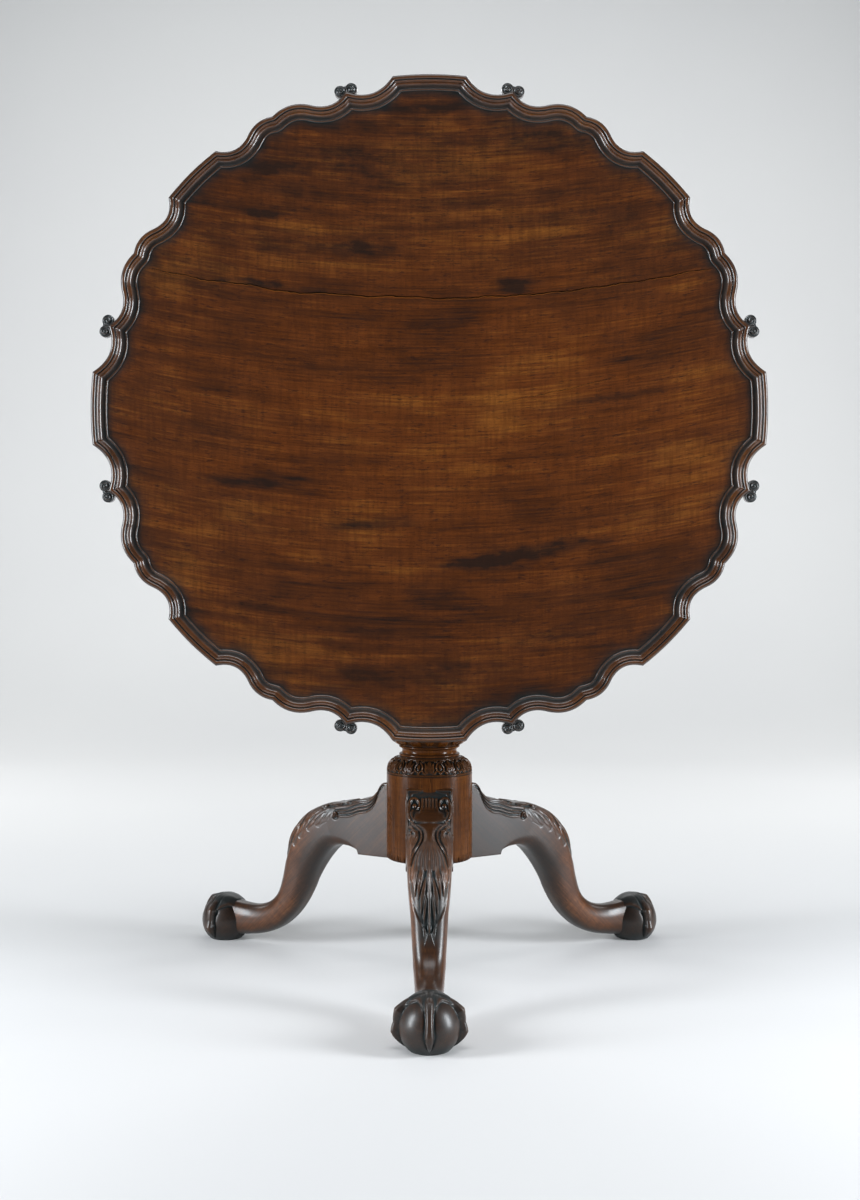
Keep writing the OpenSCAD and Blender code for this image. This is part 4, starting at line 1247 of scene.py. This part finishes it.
def studio_floor():
    ticks = np.linspace(-7, 7, 15)
    verts = [(x, y, -FLOOR_DROP) for y in ticks for x in ticks]
    return make("studio_floor", verts, grid_faces(len(ticks), len(ticks), closed=False),
                matt("studio_floor", 1.5, 3, (0.34, 0.345, 0.35), (0.37, 0.37, 0.37)))


def studio():
    scene = bpy.context.scene
    scene.world = bpy.data.worlds.new("studio")
    scene.world.use_nodes = True
    sky = scene.world.node_tree.nodes["Background"].inputs
    sky[0].default_value = SKY
    sky[1].default_value = SKY_STRENGTH
    for lamp in LAMPS:
        soft_box(*lamp)
    paper_sweep()
    studio_floor()
    scene.view_settings.view_transform = "Standard"


CAMERA_AWAY = 2.113     # from the pillar's axis
CAMERA_UP = 0.562


def camera():
    """Level camera at the height of the top's lower part, straight in front of the pillar."""
    lens = bpy.data.cameras.new("camera")
    lens.sensor_width = 36
    lens.lens = 44.73
    lens.shift_y = -0.0241667
    lens.shift_x = 0.0005
    obj = bpy.data.objects.new("camera", lens)
    obj.location = (0, AXIS_Y - CAMERA_AWAY, CAMERA_UP)
    obj.rotation_euler = (math.pi / 2, 0, 0)
    bpy.context.scene.collection.objects.link(obj)
    bpy.context.scene.camera = obj


# ---------------------------------------------------------------- parts kept from the frame

SCULPTED = ("top_board", "pillar", *LEG_DIRS)
WOOD_EASE, METAL_EASE = 0.8 * MM, 0.3 * MM


def ease_edges(obj, width):
    """Rounds the sharp edges of a part carried over from the frame."""
    bevel = obj.modifiers.new("eased_edges", "BEVEL")
    bevel.width = width
    bevel.segments = 2
    bevel.limit_method = "ANGLE"
    bevel.angle_limit = math.radians(38)


def dress_frame(finishes, upright):
    """Gives each part kept from the frame its finish, by its slot, and eases its edges."""
    for part in frame["record"]["subparts"]:
        node, slot = part["node"], part["material_slot"]
        obj = frame["nodes"][node]
        stands = node.startswith("colonnette") or node.endswith("batten")
        finish = upright if stands else finishes[slot]
        for k in range(len(obj.data.materials)):
            obj.data.materials[k] = finish
        if not obj.data.materials:
            obj.data.materials.append(finish)
        if node not in SCULPTED:
            ease_edges(obj, WOOD_EASE if "mahogany" in slot else METAL_EASE)


# ---------------------------------------------------------------- making

camera()
studio()

LEG_GRAIN = 0.75        # slope of a leg's grain down from the hub, radians
UPRIGHT = (0, math.pi / 2, 0)
COOL = (0.80, 0.95, 1.0)
TOP_GRAIN = dict(centre=(0, 0, TOP_Z), bow=0.283)
TOP_MAT = mahogany("mahogany_top", TOP_WOOD, **TOP_GRAIN, stained=True, polish=0.35, rough=0.36,
                   shine=0.15)
RIM_MAT = mahogany("mahogany_rim", HUB_WOOD, **TOP_GRAIN, polish=0.85, rough=0.27, shine=0.4,
                   coat_rough=0.10, tint=COOL)
UNDER_MAT = mahogany("mahogany_underside", UNDER_WOOD, centre=(0.4, 0, 0.3), bow=0.283, polish=0.0,
                     rough=0.55, carved=False)
FRAME_MAT = mahogany("mahogany_frame", INNER_WOOD, polish=0.0, rough=0.62, carved=False)
UPRIGHT_MAT = mahogany("mahogany_upright", INNER_WOOD, turn=UPRIGHT, polish=0.0, rough=0.6,
                       carved=False)
PILLAR_MAT = mahogany("mahogany_pillar", HUB_WOOD, turn=UPRIGHT, polish=0.28, rough=0.26,
                      shine=0.03)
LEG_MATS = [mahogany("mahogany_" + node, LEG_WOOD, turn=(0, LEG_GRAIN, math.radians(bearing)),
                     centre=(0, AXIS_Y, 0.4 * k), polish=0.48, rough=0.34, shine=0.30,
                     coat_rough=0.27, tint=COOL)
            for k, (node, bearing) in enumerate(LEG_DIRS.items())]

build_top(TOP_MAT, RIM_MAT, UNDER_MAT)
build_ears(RIM_MAT)
build_legs(LEG_MATS)
build_pillar(PILLAR_MAT)
dress_frame({"mahogany_frame": FRAME_MAT, "mahogany_base": PILLAR_MAT, "key_wood": UPRIGHT_MAT,
             "brass": brass(), "iron": iron(), "spring_steel": steel(), "mahogany_top": TOP_MAT},
            UPRIGHT_MAT)
